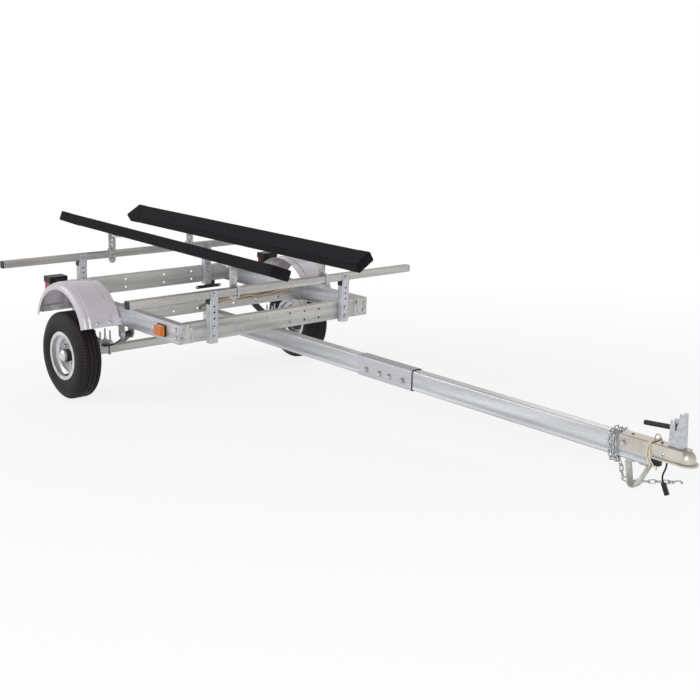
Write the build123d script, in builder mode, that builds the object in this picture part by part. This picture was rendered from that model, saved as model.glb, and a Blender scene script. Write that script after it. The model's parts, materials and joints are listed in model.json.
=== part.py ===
"""Light two-bunk boat trailer with a bolted channel frame, leaf-sprung axle and ball coupler.

Every piece is drawn on a level trailer: X runs forward from the axle, Y to the left and Z up from the
ground below the wheels, in millimetres. At the end the whole trailer is tipped about its axle until the
stand under its tongue meets the floor, which is how it parks, and is centred over the origin.
"""
from build123d import *
from math import acos, asin, atan2, cos, degrees, hypot, radians, sin, sqrt, tan
import os

# Wheels and axle
TYRE_RADIUS = 209.5
TYRE_WIDTH = 122.0
TYRE_WALL = 7.0
TREAD_WIDTH = 88.0
SHOULDER_DROP = 9.0
SHOULDER_RUN = 8.0
GROOVE_WIDTH = 5.0
GROOVE_DEPTH = 5.0
GROOVE_PITCH = 21.0
WHEEL_OFFSET = 138.0
RIM_RADIUS = 117.0
RIM_WIDTH = 104.0
BEAD_RADIUS = 101.0
BEAD_GAP = 0.3
WELL_RADIUS = 84.0
BEAD_SEAT = 21.0
WELL_SLOPE = 8.0
RIM_SHEET = 3.0
DISC_SHEET = 4.0
DISC_FACE = 6.0
DISC_WINDOW_INNER = 60.0
DISC_WINDOW_OUTER = 75.0
DISC_WINDOW_ANGLE = 40.0
LUG_COUNT = 4
LUG_CIRCLE_RADIUS = 50.8
LUG_HOLE_RADIUS = 7.0
HUB_RADIUS = 31.0
HUB_BARREL_STEP = 4.0
HUB_FLANGE_RADIUS = 62.0
HUB_FLANGE = 9.0
HUB_REACH_IN = 44.0
HUB_REACH_OUT = 34.0
CAP_RADIUS = 27.0
CAP_REACH = 22.0
CAP_BEVEL_LENGTH = 6.0
CAP_BEVEL_DEPTH = 8.0
SPINDLE_RADIUS = 13.0
SPINDLE_GAP = 0.3
AXLE_SIDE = 38.0
AXLE_WALL = 4.0
AXLE_END_GAP = 6.0

# Frame channels
FRAME_HALF_WIDTH = 559.0
FRAME_BOTTOM = 379.0
RAIL_HEIGHT = 88.0
RAIL_FLANGE = 40.0
RAIL_WALL = 3.2
FRAME_FRONT = 707.0
MID_MEMBER_FRONT = 203.0
REAR_MEMBER_FRONT = -452.0
MEMBER_FLANGE = 38.0
CORNER_PLATE = 3.2
CORNER_PLATE_WIDTH = 84.0
CORNER_HOLE_RADIUS = 5.0
MEMBER_HOLE_RADIUS = 6.0
MEMBER_HOLE_LIFT = 21.0
FIT_GAP = 0.3

# Posts, load bars and bunks
POST_INSET = 169.0
POST_WIDTH = 44.0
POST_DEPTH = 33.0
POST_WALL = 3.0
POST_DROP = 10.0
POST_TOP = 569.0
POST_CAP = 4.0
POST_HOLE_RADIUS = 5.0
POST_HOLE_PITCH = 27.0
POST_HOLES = 3
BAR_SIDE = 35.0
BAR_WALL = 2.5
BAR_LENGTH = 1651.0
BAR_CAP = 4.0
BAR_ROUND = 4.0
BRACKET_WIDTH = 41.0
BRACKET_SHEET = 4.0
BRACKET_BOLT_RADIUS = 4.0
BRACKET_BOLT_TAIL = 12.0
BRACKET_HOLE_RADIUS = 4.5
BRACKET_HOLE_PITCH = 25.0
BRACKET_TAB = 62.0
BUNK_LENGTH = 1980.0
BUNK_WIDTH = 105.0
BUNK_THICKNESS = 52.0
BUNK_ROUND = 7.0
# Each row: side, middle of the board along X, inset from the posts and height, tilt and turn in degrees
BUNK_ROWS = {
    "right": (63.0, 164.0, 721.0, 20.0, -2.0),
    "left": (32.0, 136.0, 716.0, 31.7, 0.0),
}

# Tongue, stand and coupler
TONGUE_WIDTH = 50.8
TONGUE_HEIGHT = 84.0
TONGUE_WALL = 3.2
TONGUE_ROUND = 8.0
SEAM_LIFT = 27.0
SEAM_HEIGHT = 4.0
SEAM_DEPTH = 1.4
TONGUE_TAIL = 130.0
TONGUE_JOINT = 1467.0
TONGUE_FRONT = 2806.0
SLEEVE_LENGTH = 330.0
SLEEVE_WALL = 4.0
COUPLER_REAR = 2664.0
COUPLER_WALL = 4.0
BALL_X = 2922.0
BALL_RADIUS = 23.81
SOCKET_GAP = 0.6
SOCKET_WALL = 6.0
SOCKET_SKIRT = 21.0
SOCKET_LIP = 9.0
SOCKET_LIP_SHEET = 6.0
LATCH_WIDTH = 30.0
LATCH_SHEET = 4.0
LATCH_HEIGHT = 122.0
LATCH_BASE = 56.0
LATCH_SETBACK = 12.0
LATCH_LEAN = 8.0
LATCH_TIP = 14.0
LATCH_NECK = 22.0
LATCH_CHEEK = 58.0
LATCH_TAB = 16.0
LATCH_TAB_RISE = 36.0
LATCH_NOTCH = 6.0
GRIP_LENGTH = 126.0
GRIP_RADIUS = 9.0
GRIP_ROD_RADIUS = 4.5
GRIP_ROD_REACH = 32.0
GRIP_HEIGHT = 68.0
GRIP_DROOP = 5.0
STAND_X = 2722.0
STAND_BOTTOM = 193.0
STAND_WIDTH = 34.0
STAND_SHEET = 6.0
STAND_REAR_X = 2690.0
STAND_FRONT_X = 2782.0
STAND_FLANGE = 34.0
STAND_BEND_RADIUS = 20.0

# Springs and their clamps
SPRING_INSET = 31.0
SPRING_HALF_SPAN = 222.0
SPRING_EYE_Z = 330.0
SPRING_WIDTH = 44.0
SPRING_LEAF = 7.0
SPRING_PAD = 6.0
EYE_RADIUS = 15.0
EYE_BOLT_RADIUS = 6.3
EYE_NUT_RADIUS = 10.71
EYE_NUT_HEIGHT = 8.0
EYE_BOLT_TAIL = 2.0
SPRING_SIDE_GAP = 1.0
HANGER_SHEET = 5.0
HANGER_HALF_LENGTH = 26.0
CLAMP_ROD_RADIUS = 4.5
CLAMP_TOP = 306.0
CLAMP_PLATE = 7.0
CLAMP_PLATE_MARGIN = 12.0
CLAMP_PLATE_ROUND = 6.0
CLAMP_PLATE_LIFT = 2.0
CLAMP_GAP = 0.5

# Fenders and lamps
FENDER_RADIUS = 244.0
FENDER_RISE = 110.0
FENDER_ARC = 150.0
FENDER_REACH = 198.0
FENDER_GAP = 6.0
FENDER_SHEET = 2.0
FENDER_LIP = 24.0
FENDER_SKIRT = 10.0
FENDER_ROLL = 30.0
FENDER_STEP = 4.0
FENDER_BEAD_SLOPE = 6.0
FENDER_FLAT = 40.0
STAY_LENGTH = 170.0
STAY_HEIGHT = 34.0
STAY_SHEET = 3.0
STAY_FOOT = 44.0
TAIL_LAMP_FRONT = -190.0
TAIL_LAMP_HOUSING = 34.0
TAIL_LENS_DEPTH = 26.0
TAIL_LAMP_WIDTH = 92.0
TAIL_LAMP_HEIGHT = 78.0
TAIL_LAMP_ROUND = 8.0
TAIL_LENS_WING = 12.0
TAIL_LENS_WRAP = 22.0
TAIL_LAMP_OFFSET = 93.0
TAIL_LAMP_LIFT = 154.5
LAMP_BRACKET_SHEET = 3.0
LAMP_BRACKET_WIDTH = 40.0
LAMP_BRACKET_LIFT = 185.5
PLATE_BRACKET_INSET = 124.0
PLATE_BRACKET_WIDTH = 170.0
PLATE_BRACKET_HEIGHT = 18.0
PLATE_BRACKET_SHEET = 4.0
PLATE_HOLE_RADIUS = 4.0
PLATE_LAMP_WIDTH = 54.0
PLATE_LAMP_HEIGHT = 32.0
PLATE_LAMP_DEPTH = 30.0
PLATE_LAMP_ROUND = 6.0
MARKER_X = 578.0
MARKER_LENGTH = 60.0
MARKER_HEIGHT = 48.0
MARKER_DEPTH = 20.0
MARKER_BASE = 7.0
MARKER_ROUND = 6.0

# Safety chain and lighting harness
CHAIN_WIRE = 5.0
CHAIN_INNER_LENGTH = 24.0
CHAIN_INNER_WIDTH = 8.0
CHAIN_INNER_CORNER = 1.0
CHAIN_PLAY = 0.22
CHAIN_TWIST_LINKS = 5
CHAIN_REST = 0.4
CHAIN_SIDE_GAP = 4.0
CHAIN_BELOW_TONGUE = 14.0
CHAIN_CORNER = 20.0
CHAIN_START_X = 2630.0
CHAIN_TURN_STEP = 20.0
CHAIN_FLOOR_X = 2668.0
CHAIN_FLOOR_Y = 9.5
CHAIN_FLOOR_RUN = 185.0
CHAIN_FLOOR_ANGLE = 38.0
CHAIN_FLOOR_BEND = 26.0
HOOK_WIRE_RADIUS = 3.2
HOOK_EYE_RADIUS = 10.0
HOOK_BOW_RADIUS = 14.0
HOOK_GAP = 0.8
HARNESS_RADIUS = 2.2
HARNESS_GAP = 0.5
HARNESS_LOOP_X = 2795.0
CONNECTOR_X = 2806.0
CONNECTOR_LENGTH = 34.0
CONNECTOR_WIDTH = 24.0
CONNECTOR_HEIGHT = 22.0
TAIL_CORD_RADIUS = 3.2
PLUG_LENGTH = 44.0
PLUG_RADIUS = 9.0
LOOM_RADIUS = 4.0
LOOM_END_GAP = 76.0

# Values that follow from the driving dimensions
AXLE_Z = TYRE_RADIUS
WHEEL_Y = FRAME_HALF_WIDTH + WHEEL_OFFSET
POST_Y = FRAME_HALF_WIDTH - POST_INSET
SPRING_Y = FRAME_HALF_WIDTH - SPRING_INSET
FENDER_OUTER_Y = FRAME_HALF_WIDTH + FENDER_REACH
FENDER_INNER_Y = FRAME_HALF_WIDTH + FENDER_GAP
TAIL_LAMP_Y = FRAME_HALF_WIDTH + TAIL_LAMP_OFFSET
PLATE_BRACKET_Y = FRAME_HALF_WIDTH - PLATE_BRACKET_INSET
FRAME_TOP = FRAME_BOTTOM + RAIL_HEIGHT
TONGUE_TOP = FRAME_BOTTOM
TONGUE_BOTTOM = TONGUE_TOP - TONGUE_HEIGHT
BAR_BOTTOM = POST_TOP + POST_CAP
BAR_Z = BAR_BOTTOM + BAR_SIDE / 2
SIDES = {"right": -1, "left": 1}
WHEEL_AXIS = Axis((0, 0, AXLE_Z), (0, 1, 0))

# The nose drops by this angle until the stand's rounded foot meets the floor
stand_centre_z = STAND_BOTTOM + STAND_BEND_RADIUS
park_lever = hypot(STAND_X, AXLE_Z - stand_centre_z)
park_offset = atan2(AXLE_Z - stand_centre_z, STAND_X)
park_angle = asin((AXLE_Z - STAND_BEND_RADIUS) / park_lever) - park_offset
ENDS = {"front": FRAME_FRONT, "rear": REAR_MEMBER_FRONT}

nodes = {}


def keep(name, shape):
    """Stores a finished piece under its node name."""
    shape.label = name
    nodes[name] = shape
    return shape


def both_sides(y):
    """The two mirrored places at a distance y from the centre line."""
    return [(0, side * y) for side in SIDES.values()]


def section_plane(side, y):
    """A half plane from the axle to the floor: local X runs outward, local Y is the radius."""
    return Plane(origin=(0, side * y, AXLE_Z), x_dir=(0, side, 0),
                 z_dir=(-side * cos(park_angle), 0, -side * sin(park_angle)))


def floor_z(x):
    """Height of the floor under the level trailer at x."""
    return x * tan(park_angle) + AXLE_Z - AXLE_Z / cos(park_angle)


# Wheels: tyre, pressed rim and hub on each side
def make_tyre(side):
    """Bias-ply tyre with three tread grooves; its inside is open towards the rim."""
    half = TYRE_WIDTH / 2
    tread = TREAD_WIDTH / 2
    bead_half = RIM_WIDTH / 2 - RIM_SHEET - BEAD_GAP
    bead = BEAD_RADIUS + RIM_SHEET / 2 + BEAD_GAP
    flange_top = RIM_RADIUS + BEAD_GAP
    belly = (bead + TYRE_RADIUS) / 2
    shoulder = TYRE_RADIUS - SHOULDER_DROP
    crown_half = tread - SHOULDER_RUN
    with BuildPart() as tyre:
        with BuildSketch(section_plane(side, WHEEL_Y)):
            with BuildLine():
                crown = Line((-crown_half, TYRE_RADIUS), (crown_half, TYRE_RADIUS))
                Line(crown @ 1, (tread, shoulder))
                ThreePointArc((tread, shoulder), (half, belly), (bead_half, flange_top))
                Polyline((bead_half, flange_top), (bead_half, bead), (bead_half - TYRE_WALL, bead),
                         (half - TYRE_WALL, belly), (tread - TYRE_WALL, shoulder - TYRE_WALL),
                         (-tread + TYRE_WALL, shoulder - TYRE_WALL), (-half + TYRE_WALL, belly),
                         (-bead_half + TYRE_WALL, bead), (-bead_half, bead), (-bead_half, flange_top))
                ThreePointArc((-bead_half, flange_top), (-half, belly), (-tread, shoulder))
                Line((-tread, shoulder), crown @ 0)
            make_face()
            with Locations(*[(k * GROOVE_PITCH, TYRE_RADIUS - GROOVE_DEPTH / 2) for k in (-1, 0, 1)]):
                Rectangle(GROOVE_WIDTH, GROOVE_DEPTH, mode=Mode.SUBTRACT)
        revolve(axis=WHEEL_AXIS)
    return tyre.part


def make_rim(side):
    """Pressed steel rim: flanges, bead seats, drop well and a disc with windows between the lugs."""
    half = (RIM_WIDTH - RIM_SHEET) / 2
    seat = BEAD_RADIUS
    with BuildPart() as rim:
        with BuildSketch(section_plane(side, WHEEL_Y)):
            with BuildLine():
                outline = Polyline((half, RIM_RADIUS), (half, seat), (half - BEAD_SEAT, seat),
                                   (half - BEAD_SEAT - WELL_SLOPE, WELL_RADIUS),
                                   (-half + BEAD_SEAT + WELL_SLOPE, WELL_RADIUS),
                                   (-half + BEAD_SEAT, seat), (-half, seat), (-half, RIM_RADIUS))
            trace(outline, RIM_SHEET)
        revolve(axis=WHEEL_AXIS)
        with BuildSketch(section_plane(side, WHEEL_Y)):
            with Locations((DISC_FACE - DISC_SHEET / 2, (WELL_RADIUS + HUB_RADIUS) / 2)):
                Rectangle(DISC_SHEET, WELL_RADIUS - HUB_RADIUS - FIT_GAP)
        revolve(axis=WHEEL_AXIS)
        disc_plane = Plane(origin=(0, side * (WHEEL_Y + DISC_FACE), AXLE_Z),
                           x_dir=(1, 0, 0), z_dir=(0, side, 0))
        with BuildSketch(disc_plane):
            with PolarLocations(LUG_CIRCLE_RADIUS, LUG_COUNT, start_angle=45):
                Circle(LUG_HOLE_RADIUS)
            with PolarLocations(0, LUG_COUNT):
                SlotArc(CenterArc((0, 0), (DISC_WINDOW_INNER + DISC_WINDOW_OUTER) / 2,
                                  -DISC_WINDOW_ANGLE / 2, DISC_WINDOW_ANGLE, mode=Mode.PRIVATE),
                        DISC_WINDOW_OUTER - DISC_WINDOW_INNER)
        extrude(amount=-DISC_SHEET, mode=Mode.SUBTRACT)
    return rim.part


def make_hub(side):
    """Bearing hub with its lug flange behind the disc and a dust cap at the outer end."""
    back = DISC_FACE - DISC_SHEET
    cap_end = HUB_REACH_OUT + CAP_REACH
    bore = SPINDLE_RADIUS + SPINDLE_GAP
    barrel = HUB_RADIUS + HUB_BARREL_STEP
    with BuildPart() as hub:
        with BuildSketch(section_plane(side, WHEEL_Y)):
            with BuildLine():
                Polyline((-HUB_REACH_IN, bore), (-HUB_REACH_IN, barrel), (back - HUB_FLANGE, barrel),
                         (back - HUB_FLANGE, HUB_FLANGE_RADIUS), (back - FIT_GAP, HUB_FLANGE_RADIUS),
                         (back - FIT_GAP, HUB_RADIUS - FIT_GAP), (HUB_REACH_OUT, HUB_RADIUS - FIT_GAP),
                         (HUB_REACH_OUT, CAP_RADIUS), (cap_end - CAP_BEVEL_LENGTH, CAP_RADIUS),
                         (cap_end, CAP_RADIUS - CAP_BEVEL_DEPTH), (cap_end, 0), (HUB_REACH_OUT, 0),
                         (HUB_REACH_OUT, bore), (-HUB_REACH_IN, bore))
            make_face()
        revolve(axis=WHEEL_AXIS)
    return hub.part


for side_name, side in SIDES.items():
    keep(f"tyre_{side_name}", make_tyre(side))
    keep(f"rim_{side_name}", make_rim(side))
    keep(f"hub_{side_name}", make_hub(side))

# Axle: a square tube with a turned spindle at each end
axle_half = WHEEL_Y - HUB_REACH_IN - AXLE_END_GAP
spindle_end = WHEEL_Y + HUB_REACH_OUT - AXLE_END_GAP
with BuildPart() as axle:
    with BuildSketch(Plane.XZ.offset(-axle_half)):
        with Locations((0, AXLE_Z)):
            RectangleRounded(AXLE_SIDE, AXLE_SIDE, AXLE_WALL)
    extrude(amount=2 * axle_half)
    with BuildSketch(Plane.XZ.offset(-spindle_end)):
        with Locations((0, AXLE_Z)):
            Circle(SPINDLE_RADIUS)
    extrude(amount=2 * spindle_end)
keep("axle", axle.part)

# Springs, hangers, eye bolts and axle clamps
leaf_seat = AXLE_Z + AXLE_SIDE / 2 + SPRING_PAD
leaf_end = (SPRING_HALF_SPAN, SPRING_EYE_Z - EYE_RADIUS + SPRING_LEAF / 2)


def make_spring(side):
    """One curved leaf with a rolled eye at each end."""
    with BuildPart() as spring:
        with BuildSketch(Plane.XZ.offset(-side * SPRING_Y)):
            with BuildLine():
                leaf = ThreePointArc((-leaf_end[0], leaf_end[1]), (0, leaf_seat + SPRING_LEAF / 2), leaf_end)
            trace(leaf, SPRING_LEAF)
            with Locations((-SPRING_HALF_SPAN, SPRING_EYE_Z), (SPRING_HALF_SPAN, SPRING_EYE_Z)):
                Circle(EYE_RADIUS)
                Circle(EYE_BOLT_RADIUS + FIT_GAP, mode=Mode.SUBTRACT)
        extrude(amount=SPRING_WIDTH / 2, both=True)
    return spring.part


for side_name, side in SIDES.items():
    keep(f"leaf_spring_{side_name}", make_spring(side))

hanger_inner = SPRING_WIDTH / 2 + SPRING_SIDE_GAP
hanger_drop = FRAME_BOTTOM - SPRING_EYE_Z
hanger_outer = hanger_inner + HANGER_SHEET
hanger_places = [(x, y) for x in (-SPRING_HALF_SPAN, SPRING_HALF_SPAN) for _, y in both_sides(SPRING_Y)]
with BuildPart() as hangers:
    for hanger_x, hanger_y in hanger_places:
        with BuildSketch(Plane.XZ.offset(-hanger_y)):
            with Locations((hanger_x, FRAME_BOTTOM)):
                Rectangle(2 * HANGER_HALF_LENGTH, hanger_drop, align=(Align.CENTER, Align.MAX))
            with Locations((hanger_x, SPRING_EYE_Z)):
                Circle(HANGER_HALF_LENGTH * 0.8)
                Circle(EYE_BOLT_RADIUS + FIT_GAP, mode=Mode.SUBTRACT)
        extrude(amount=hanger_outer, both=True)
        with BuildSketch(Plane.XZ.offset(-hanger_y)):
            with Locations((hanger_x, FRAME_BOTTOM - HANGER_SHEET)):
                Rectangle(4 * HANGER_HALF_LENGTH, 2 * FRAME_BOTTOM, align=(Align.CENTER, Align.MAX))
        extrude(amount=hanger_inner, both=True, mode=Mode.SUBTRACT)
keep("spring_hangers", hangers.part)

with BuildPart() as eye_bolts:
    for hanger_x, hanger_y in hanger_places:
        with BuildSketch(Plane.XZ.offset(-hanger_y)):
            with Locations((hanger_x, SPRING_EYE_Z)):
                Circle(EYE_BOLT_RADIUS)
        extrude(amount=hanger_outer + EYE_BOLT_TAIL, both=True)
        for face in (-1, 1):
            with BuildSketch(Plane.XZ.offset(-hanger_y + face * (hanger_outer + FIT_GAP))):
                with Locations((hanger_x, SPRING_EYE_Z)):
                    RegularPolygon(EYE_NUT_RADIUS, 6)
            extrude(amount=face * EYE_NUT_HEIGHT)
keep("spring_bolts", eye_bolts.part)

clamp_x = AXLE_SIDE / 2 + CLAMP_ROD_RADIUS + CLAMP_GAP
clamp_low = AXLE_Z - AXLE_SIDE / 2 - CLAMP_ROD_RADIUS - CLAMP_GAP
clamp_offset = SPRING_WIDTH / 2 + CLAMP_ROD_RADIUS + SPRING_SIDE_GAP
clamp_plate_low = leaf_seat + SPRING_LEAF + CLAMP_PLATE_LIFT
clamp_plate_length = 2 * (clamp_x + CLAMP_PLATE_MARGIN)
clamp_plate_width = 2 * (clamp_offset + CLAMP_PLATE_MARGIN)
with BuildPart() as clamps:
    for _, spring_y in both_sides(SPRING_Y):
        for clamp_y in (spring_y - clamp_offset, spring_y + clamp_offset):
            with BuildLine(Plane.XZ.offset(-clamp_y)) as clamp_path:
                FilletPolyline((-clamp_x, CLAMP_TOP), (-clamp_x, clamp_low), (clamp_x, clamp_low),
                               (clamp_x, CLAMP_TOP), radius=CLAMP_ROD_RADIUS * 1.5)
            with BuildSketch(Plane(origin=(-clamp_x, clamp_y, CLAMP_TOP), z_dir=(0, 0, -1))):
                Circle(CLAMP_ROD_RADIUS)
            sweep(path=clamp_path.line)
keep("axle_u_bolts", clamps.part)

with BuildPart() as clamp_plates:
    for _, spring_y in both_sides(SPRING_Y):
        with BuildSketch(Plane.XY.offset(clamp_plate_low)):
            with Locations((0, spring_y)):
                RectangleRounded(clamp_plate_length, clamp_plate_width, CLAMP_PLATE_ROUND)
                with GridLocations(2 * clamp_x, 2 * clamp_offset, 2, 2):
                    Circle(CLAMP_ROD_RADIUS + FIT_GAP, mode=Mode.SUBTRACT)
        extrude(amount=CLAMP_PLATE)
        with BuildSketch(Plane.XY.offset(AXLE_Z + AXLE_SIDE / 2)):
            with Locations((0, spring_y)):
                Rectangle(AXLE_SIDE, SPRING_WIDTH)
        extrude(amount=SPRING_PAD - FIT_GAP)
keep("spring_seats", clamp_plates.part)


# Frame: side rails, cross members and corner plates
def channel_sketch(height, flange, wall, open_to):
    """A pressed channel section: web at local X 0, flanges towards open_to, bottom at local Y 0."""
    with BuildSketch() as section:
        Rectangle(flange, height, align=(Align.MIN if open_to > 0 else Align.MAX, Align.MIN))
        with Locations((open_to * wall, wall)):
            Rectangle(flange, height - 2 * wall, align=(Align.MIN if open_to > 0 else Align.MAX, Align.MIN),
                      mode=Mode.SUBTRACT)
    return section.sketch


rail_rear = REAR_MEMBER_FRONT - MEMBER_FLANGE
for side_name, side in SIDES.items():
    with BuildPart() as rail:
        with BuildSketch(Plane(origin=(rail_rear, side * FRAME_HALF_WIDTH, FRAME_BOTTOM),
                               x_dir=(0, 1, 0), z_dir=(1, 0, 0))):
            add(channel_sketch(RAIL_HEIGHT, RAIL_FLANGE, RAIL_WALL, -side))
        extrude(amount=FRAME_FRONT - rail_rear)
    keep(f"side_rail_{side_name}", rail.part)

member_half = FRAME_HALF_WIDTH - RAIL_WALL - FIT_GAP
cope_start = FRAME_HALF_WIDTH - RAIL_FLANGE - FIT_GAP
cope_depth = RAIL_WALL + FIT_GAP
member_fronts = {"front": FRAME_FRONT, "mid": MID_MEMBER_FRONT, "rear": REAR_MEMBER_FRONT}
# Each row: member, distances of its pairs of holes from the centre line
MEMBER_HOLES = {"front": (70, 160, 250), "mid": (110, 250, 400), "rear": (120, 300)}
for member_name, member_front in member_fronts.items():
    with BuildPart() as member:
        with BuildSketch(Plane(origin=(member_front, -member_half, FRAME_BOTTOM),
                               x_dir=(1, 0, 0), z_dir=(0, -1, 0))):
            add(channel_sketch(RAIL_HEIGHT, MEMBER_FLANGE, RAIL_WALL, -1))
        extrude(amount=-2 * member_half)
        web_plane = Plane(origin=(member_front, 0, (FRAME_BOTTOM + FRAME_TOP) / 2),
                          x_dir=(0, 1, 0), z_dir=(1, 0, 0))
        with BuildSketch(web_plane):
            for hole_y in MEMBER_HOLES[member_name]:
                for _, place in both_sides(hole_y):
                    with Locations((place, MEMBER_HOLE_LIFT), (place, -MEMBER_HOLE_LIFT)):
                        Circle(MEMBER_HOLE_RADIUS)
        extrude(amount=-RAIL_WALL, mode=Mode.SUBTRACT)
        with BuildSketch(web_plane):
            for _, cope_y in both_sides((cope_start + member_half) / 2):
                with Locations((cope_y, 0)):
                    with GridLocations(0, RAIL_HEIGHT - cope_depth, 1, 2):
                        Rectangle(member_half - cope_start, cope_depth)
        extrude(amount=-MEMBER_FLANGE, mode=Mode.SUBTRACT)
    keep(f"cross_member_{member_name}", member.part)

with BuildPart() as corner_plates:
    for _, plate_y in both_sides(FRAME_HALF_WIDTH - CORNER_PLATE_WIDTH / 2):
        with BuildSketch(Plane(origin=(FRAME_FRONT, plate_y, FRAME_BOTTOM),
                               x_dir=(0, 1, 0), z_dir=(1, 0, 0))):
            Rectangle(CORNER_PLATE_WIDTH, RAIL_HEIGHT, align=(Align.CENTER, Align.MIN))
            with Locations((0, RAIL_HEIGHT / 2)):
                with GridLocations(CORNER_PLATE_WIDTH * 0.5, RAIL_HEIGHT * 0.5, 2, 2):
                    Circle(CORNER_HOLE_RADIUS, mode=Mode.SUBTRACT)
        extrude(amount=CORNER_PLATE)
keep("corner_plates", corner_plates.part)

# Posts, their caps, load bars and bar end caps
POST_FRONTS = {name: ENDS[name] + POST_DEPTH for name in ENDS}
tab_top = BAR_BOTTOM + BAR_SIDE
post_low = FRAME_BOTTOM - POST_DROP
post_places = [(front, y) for front in POST_FRONTS.values() for _, y in both_sides(POST_Y)]
cap_depth = POST_DEPTH - POST_WALL - FIT_GAP
with BuildPart() as posts:
    for post_front, post_y in post_places:
        with BuildSketch(Plane.XY.offset(post_low)):
            with Locations((post_front - POST_DEPTH / 2, post_y)):
                RectangleRounded(POST_DEPTH, POST_WIDTH, POST_WALL)
                Rectangle(POST_DEPTH - 2 * POST_WALL, POST_WIDTH - 2 * POST_WALL, mode=Mode.SUBTRACT)
        extrude(amount=POST_TOP - post_low)
        with BuildSketch(Plane.XY.offset(POST_TOP)):
            with Locations((post_front - POST_WALL / 2, post_y)):
                Rectangle(POST_WALL, POST_WIDTH - 2 * POST_WALL)
        extrude(amount=tab_top - POST_TOP)
        with BuildSketch(Plane(origin=(post_front, post_y, FRAME_TOP), x_dir=(0, 1, 0), z_dir=(1, 0, 0))):
            with Locations(*[(0, (k + 0.6) * POST_HOLE_PITCH) for k in range(POST_HOLES)]):
                Circle(POST_HOLE_RADIUS)
        extrude(amount=-POST_WALL, mode=Mode.SUBTRACT)
keep("posts", posts.part)
with BuildPart() as post_caps:
    for post_front, post_y in post_places:
        with BuildSketch(Plane.XY.offset(POST_TOP)):
            with Locations((post_front - POST_DEPTH + cap_depth / 2, post_y)):
                RectangleRounded(cap_depth, POST_WIDTH, POST_WALL)
        extrude(amount=POST_CAP - FIT_GAP)
keep("post_caps", post_caps.part)
bar_half = BAR_LENGTH / 2 - BAR_CAP
bar_places = {name: front - POST_WALL - FIT_GAP - BAR_SIDE / 2 for name, front in POST_FRONTS.items()}
for end_name, bar_x in bar_places.items():
    with BuildPart() as bar:
        with BuildSketch(Plane.XZ.offset(-bar_half)):
            with Locations((bar_x, BAR_Z)):
                RectangleRounded(BAR_SIDE, BAR_SIDE, BAR_ROUND)
                Rectangle(BAR_SIDE - 2 * BAR_WALL, BAR_SIDE - 2 * BAR_WALL, mode=Mode.SUBTRACT)
        extrude(amount=2 * bar_half)
    keep(f"load_bar_{end_name}", bar.part)
with BuildPart() as bar_caps:
    for bar_x in bar_places.values():
        for side in SIDES.values():
            with BuildSketch(Plane.XZ.offset(-side * bar_half)):
                with Locations((bar_x, BAR_Z)):
                    RectangleRounded(BAR_SIDE, BAR_SIDE, BAR_ROUND)
            extrude(amount=-side * BAR_CAP)
keep("bar_caps", bar_caps.part)

# Bunks and the perforated brackets that carry them
bunk_planes = {}
for side_name, (bunk_x, bunk_inset, bunk_z, bunk_tilt, bunk_turn) in BUNK_ROWS.items():
    side = SIDES[side_name]
    tilt = radians(bunk_tilt)
    heading = Vector(cos(radians(bunk_turn)), sin(radians(bunk_turn)), 0)
    outward = Vector(-heading.Y, heading.X, 0) * side
    bunk_plane = Plane(origin=(bunk_x, side * (POST_Y - bunk_inset), bunk_z),
                       x_dir=outward * cos(tilt) + Vector(0, 0, sin(tilt)), z_dir=heading)
    bunk_planes[side_name] = bunk_plane
    with BuildPart() as bunk:
        with BuildSketch(bunk_plane):
            RectangleRounded(BUNK_WIDTH, BUNK_THICKNESS, BUNK_ROUND)
        extrude(amount=BUNK_LENGTH / 2, both=True)
    keep(f"bunk_{side_name}", bunk.part)


def bunk_underside(side_name, x):
    """Point of a bunk's underside centre line at x, a fit gap below it, and the way up from there."""
    plane = bunk_planes[side_name]
    face_up = plane.y_dir * (1 if plane.y_dir.Z > 0 else -1)
    start = plane.origin - face_up * (BUNK_THICKNESS / 2 + FIT_GAP)
    return start + plane.z_dir * ((x - start.X) / plane.z_dir.X), face_up


# Each row: end, place of the strip's bar side, direction towards the middle of the trailer
BRACKET_ROWS = [
    ("front", POST_FRONTS["front"] - POST_WALL - FIT_GAP - BAR_SIDE, -1),
    ("rear", POST_FRONTS["rear"] - POST_WALL - FIT_GAP, 1),
]
strip_low = BAR_Z - BRACKET_HOLE_PITCH - BRACKET_WIDTH / 2
half = BRACKET_WIDTH / 2
low = strip_low + half
for end_name, strip_x, inward in BRACKET_ROWS:
    with BuildPart() as brackets:
        for side_name, side in SIDES.items():
            under, face_up = bunk_underside(side_name, strip_x + inward * FIT_GAP)
            rise = -half * side * face_up.Y / face_up.Z
            head = under.Z - BRACKET_SHEET * 0.5
            strip_plane = Plane(origin=(strip_x + inward * FIT_GAP, under.Y, 0),
                                x_dir=(0, side, 0), z_dir=(side, 0, 0))
            with BuildSketch(strip_plane):
                with BuildLine():
                    Polyline((-half, low), (-half, head - rise), (half, head + rise), (half, low))
                    ThreePointArc((half, low), (0, strip_low), (-half, low))
                make_face()
                hole_room = head - rise - 2 * BRACKET_HOLE_RADIUS - low
                hole_count = int(hole_room / BRACKET_HOLE_PITCH) + 1
                with Locations(*[(0, low + k * BRACKET_HOLE_PITCH) for k in range(hole_count)]):
                    Circle(BRACKET_HOLE_RADIUS, mode=Mode.SUBTRACT)
            extrude(amount=side * inward * BRACKET_SHEET)
            tab_plane = Plane(origin=under, x_dir=bunk_planes[side_name].z_dir * inward, z_dir=face_up)
            with BuildSketch(tab_plane):
                Rectangle(BRACKET_TAB, BRACKET_WIDTH / face_up.Z, align=(Align.MIN, Align.CENTER))
            extrude(amount=-BRACKET_SHEET)
    keep(f"bunk_brackets_{end_name}", brackets.part)

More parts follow.
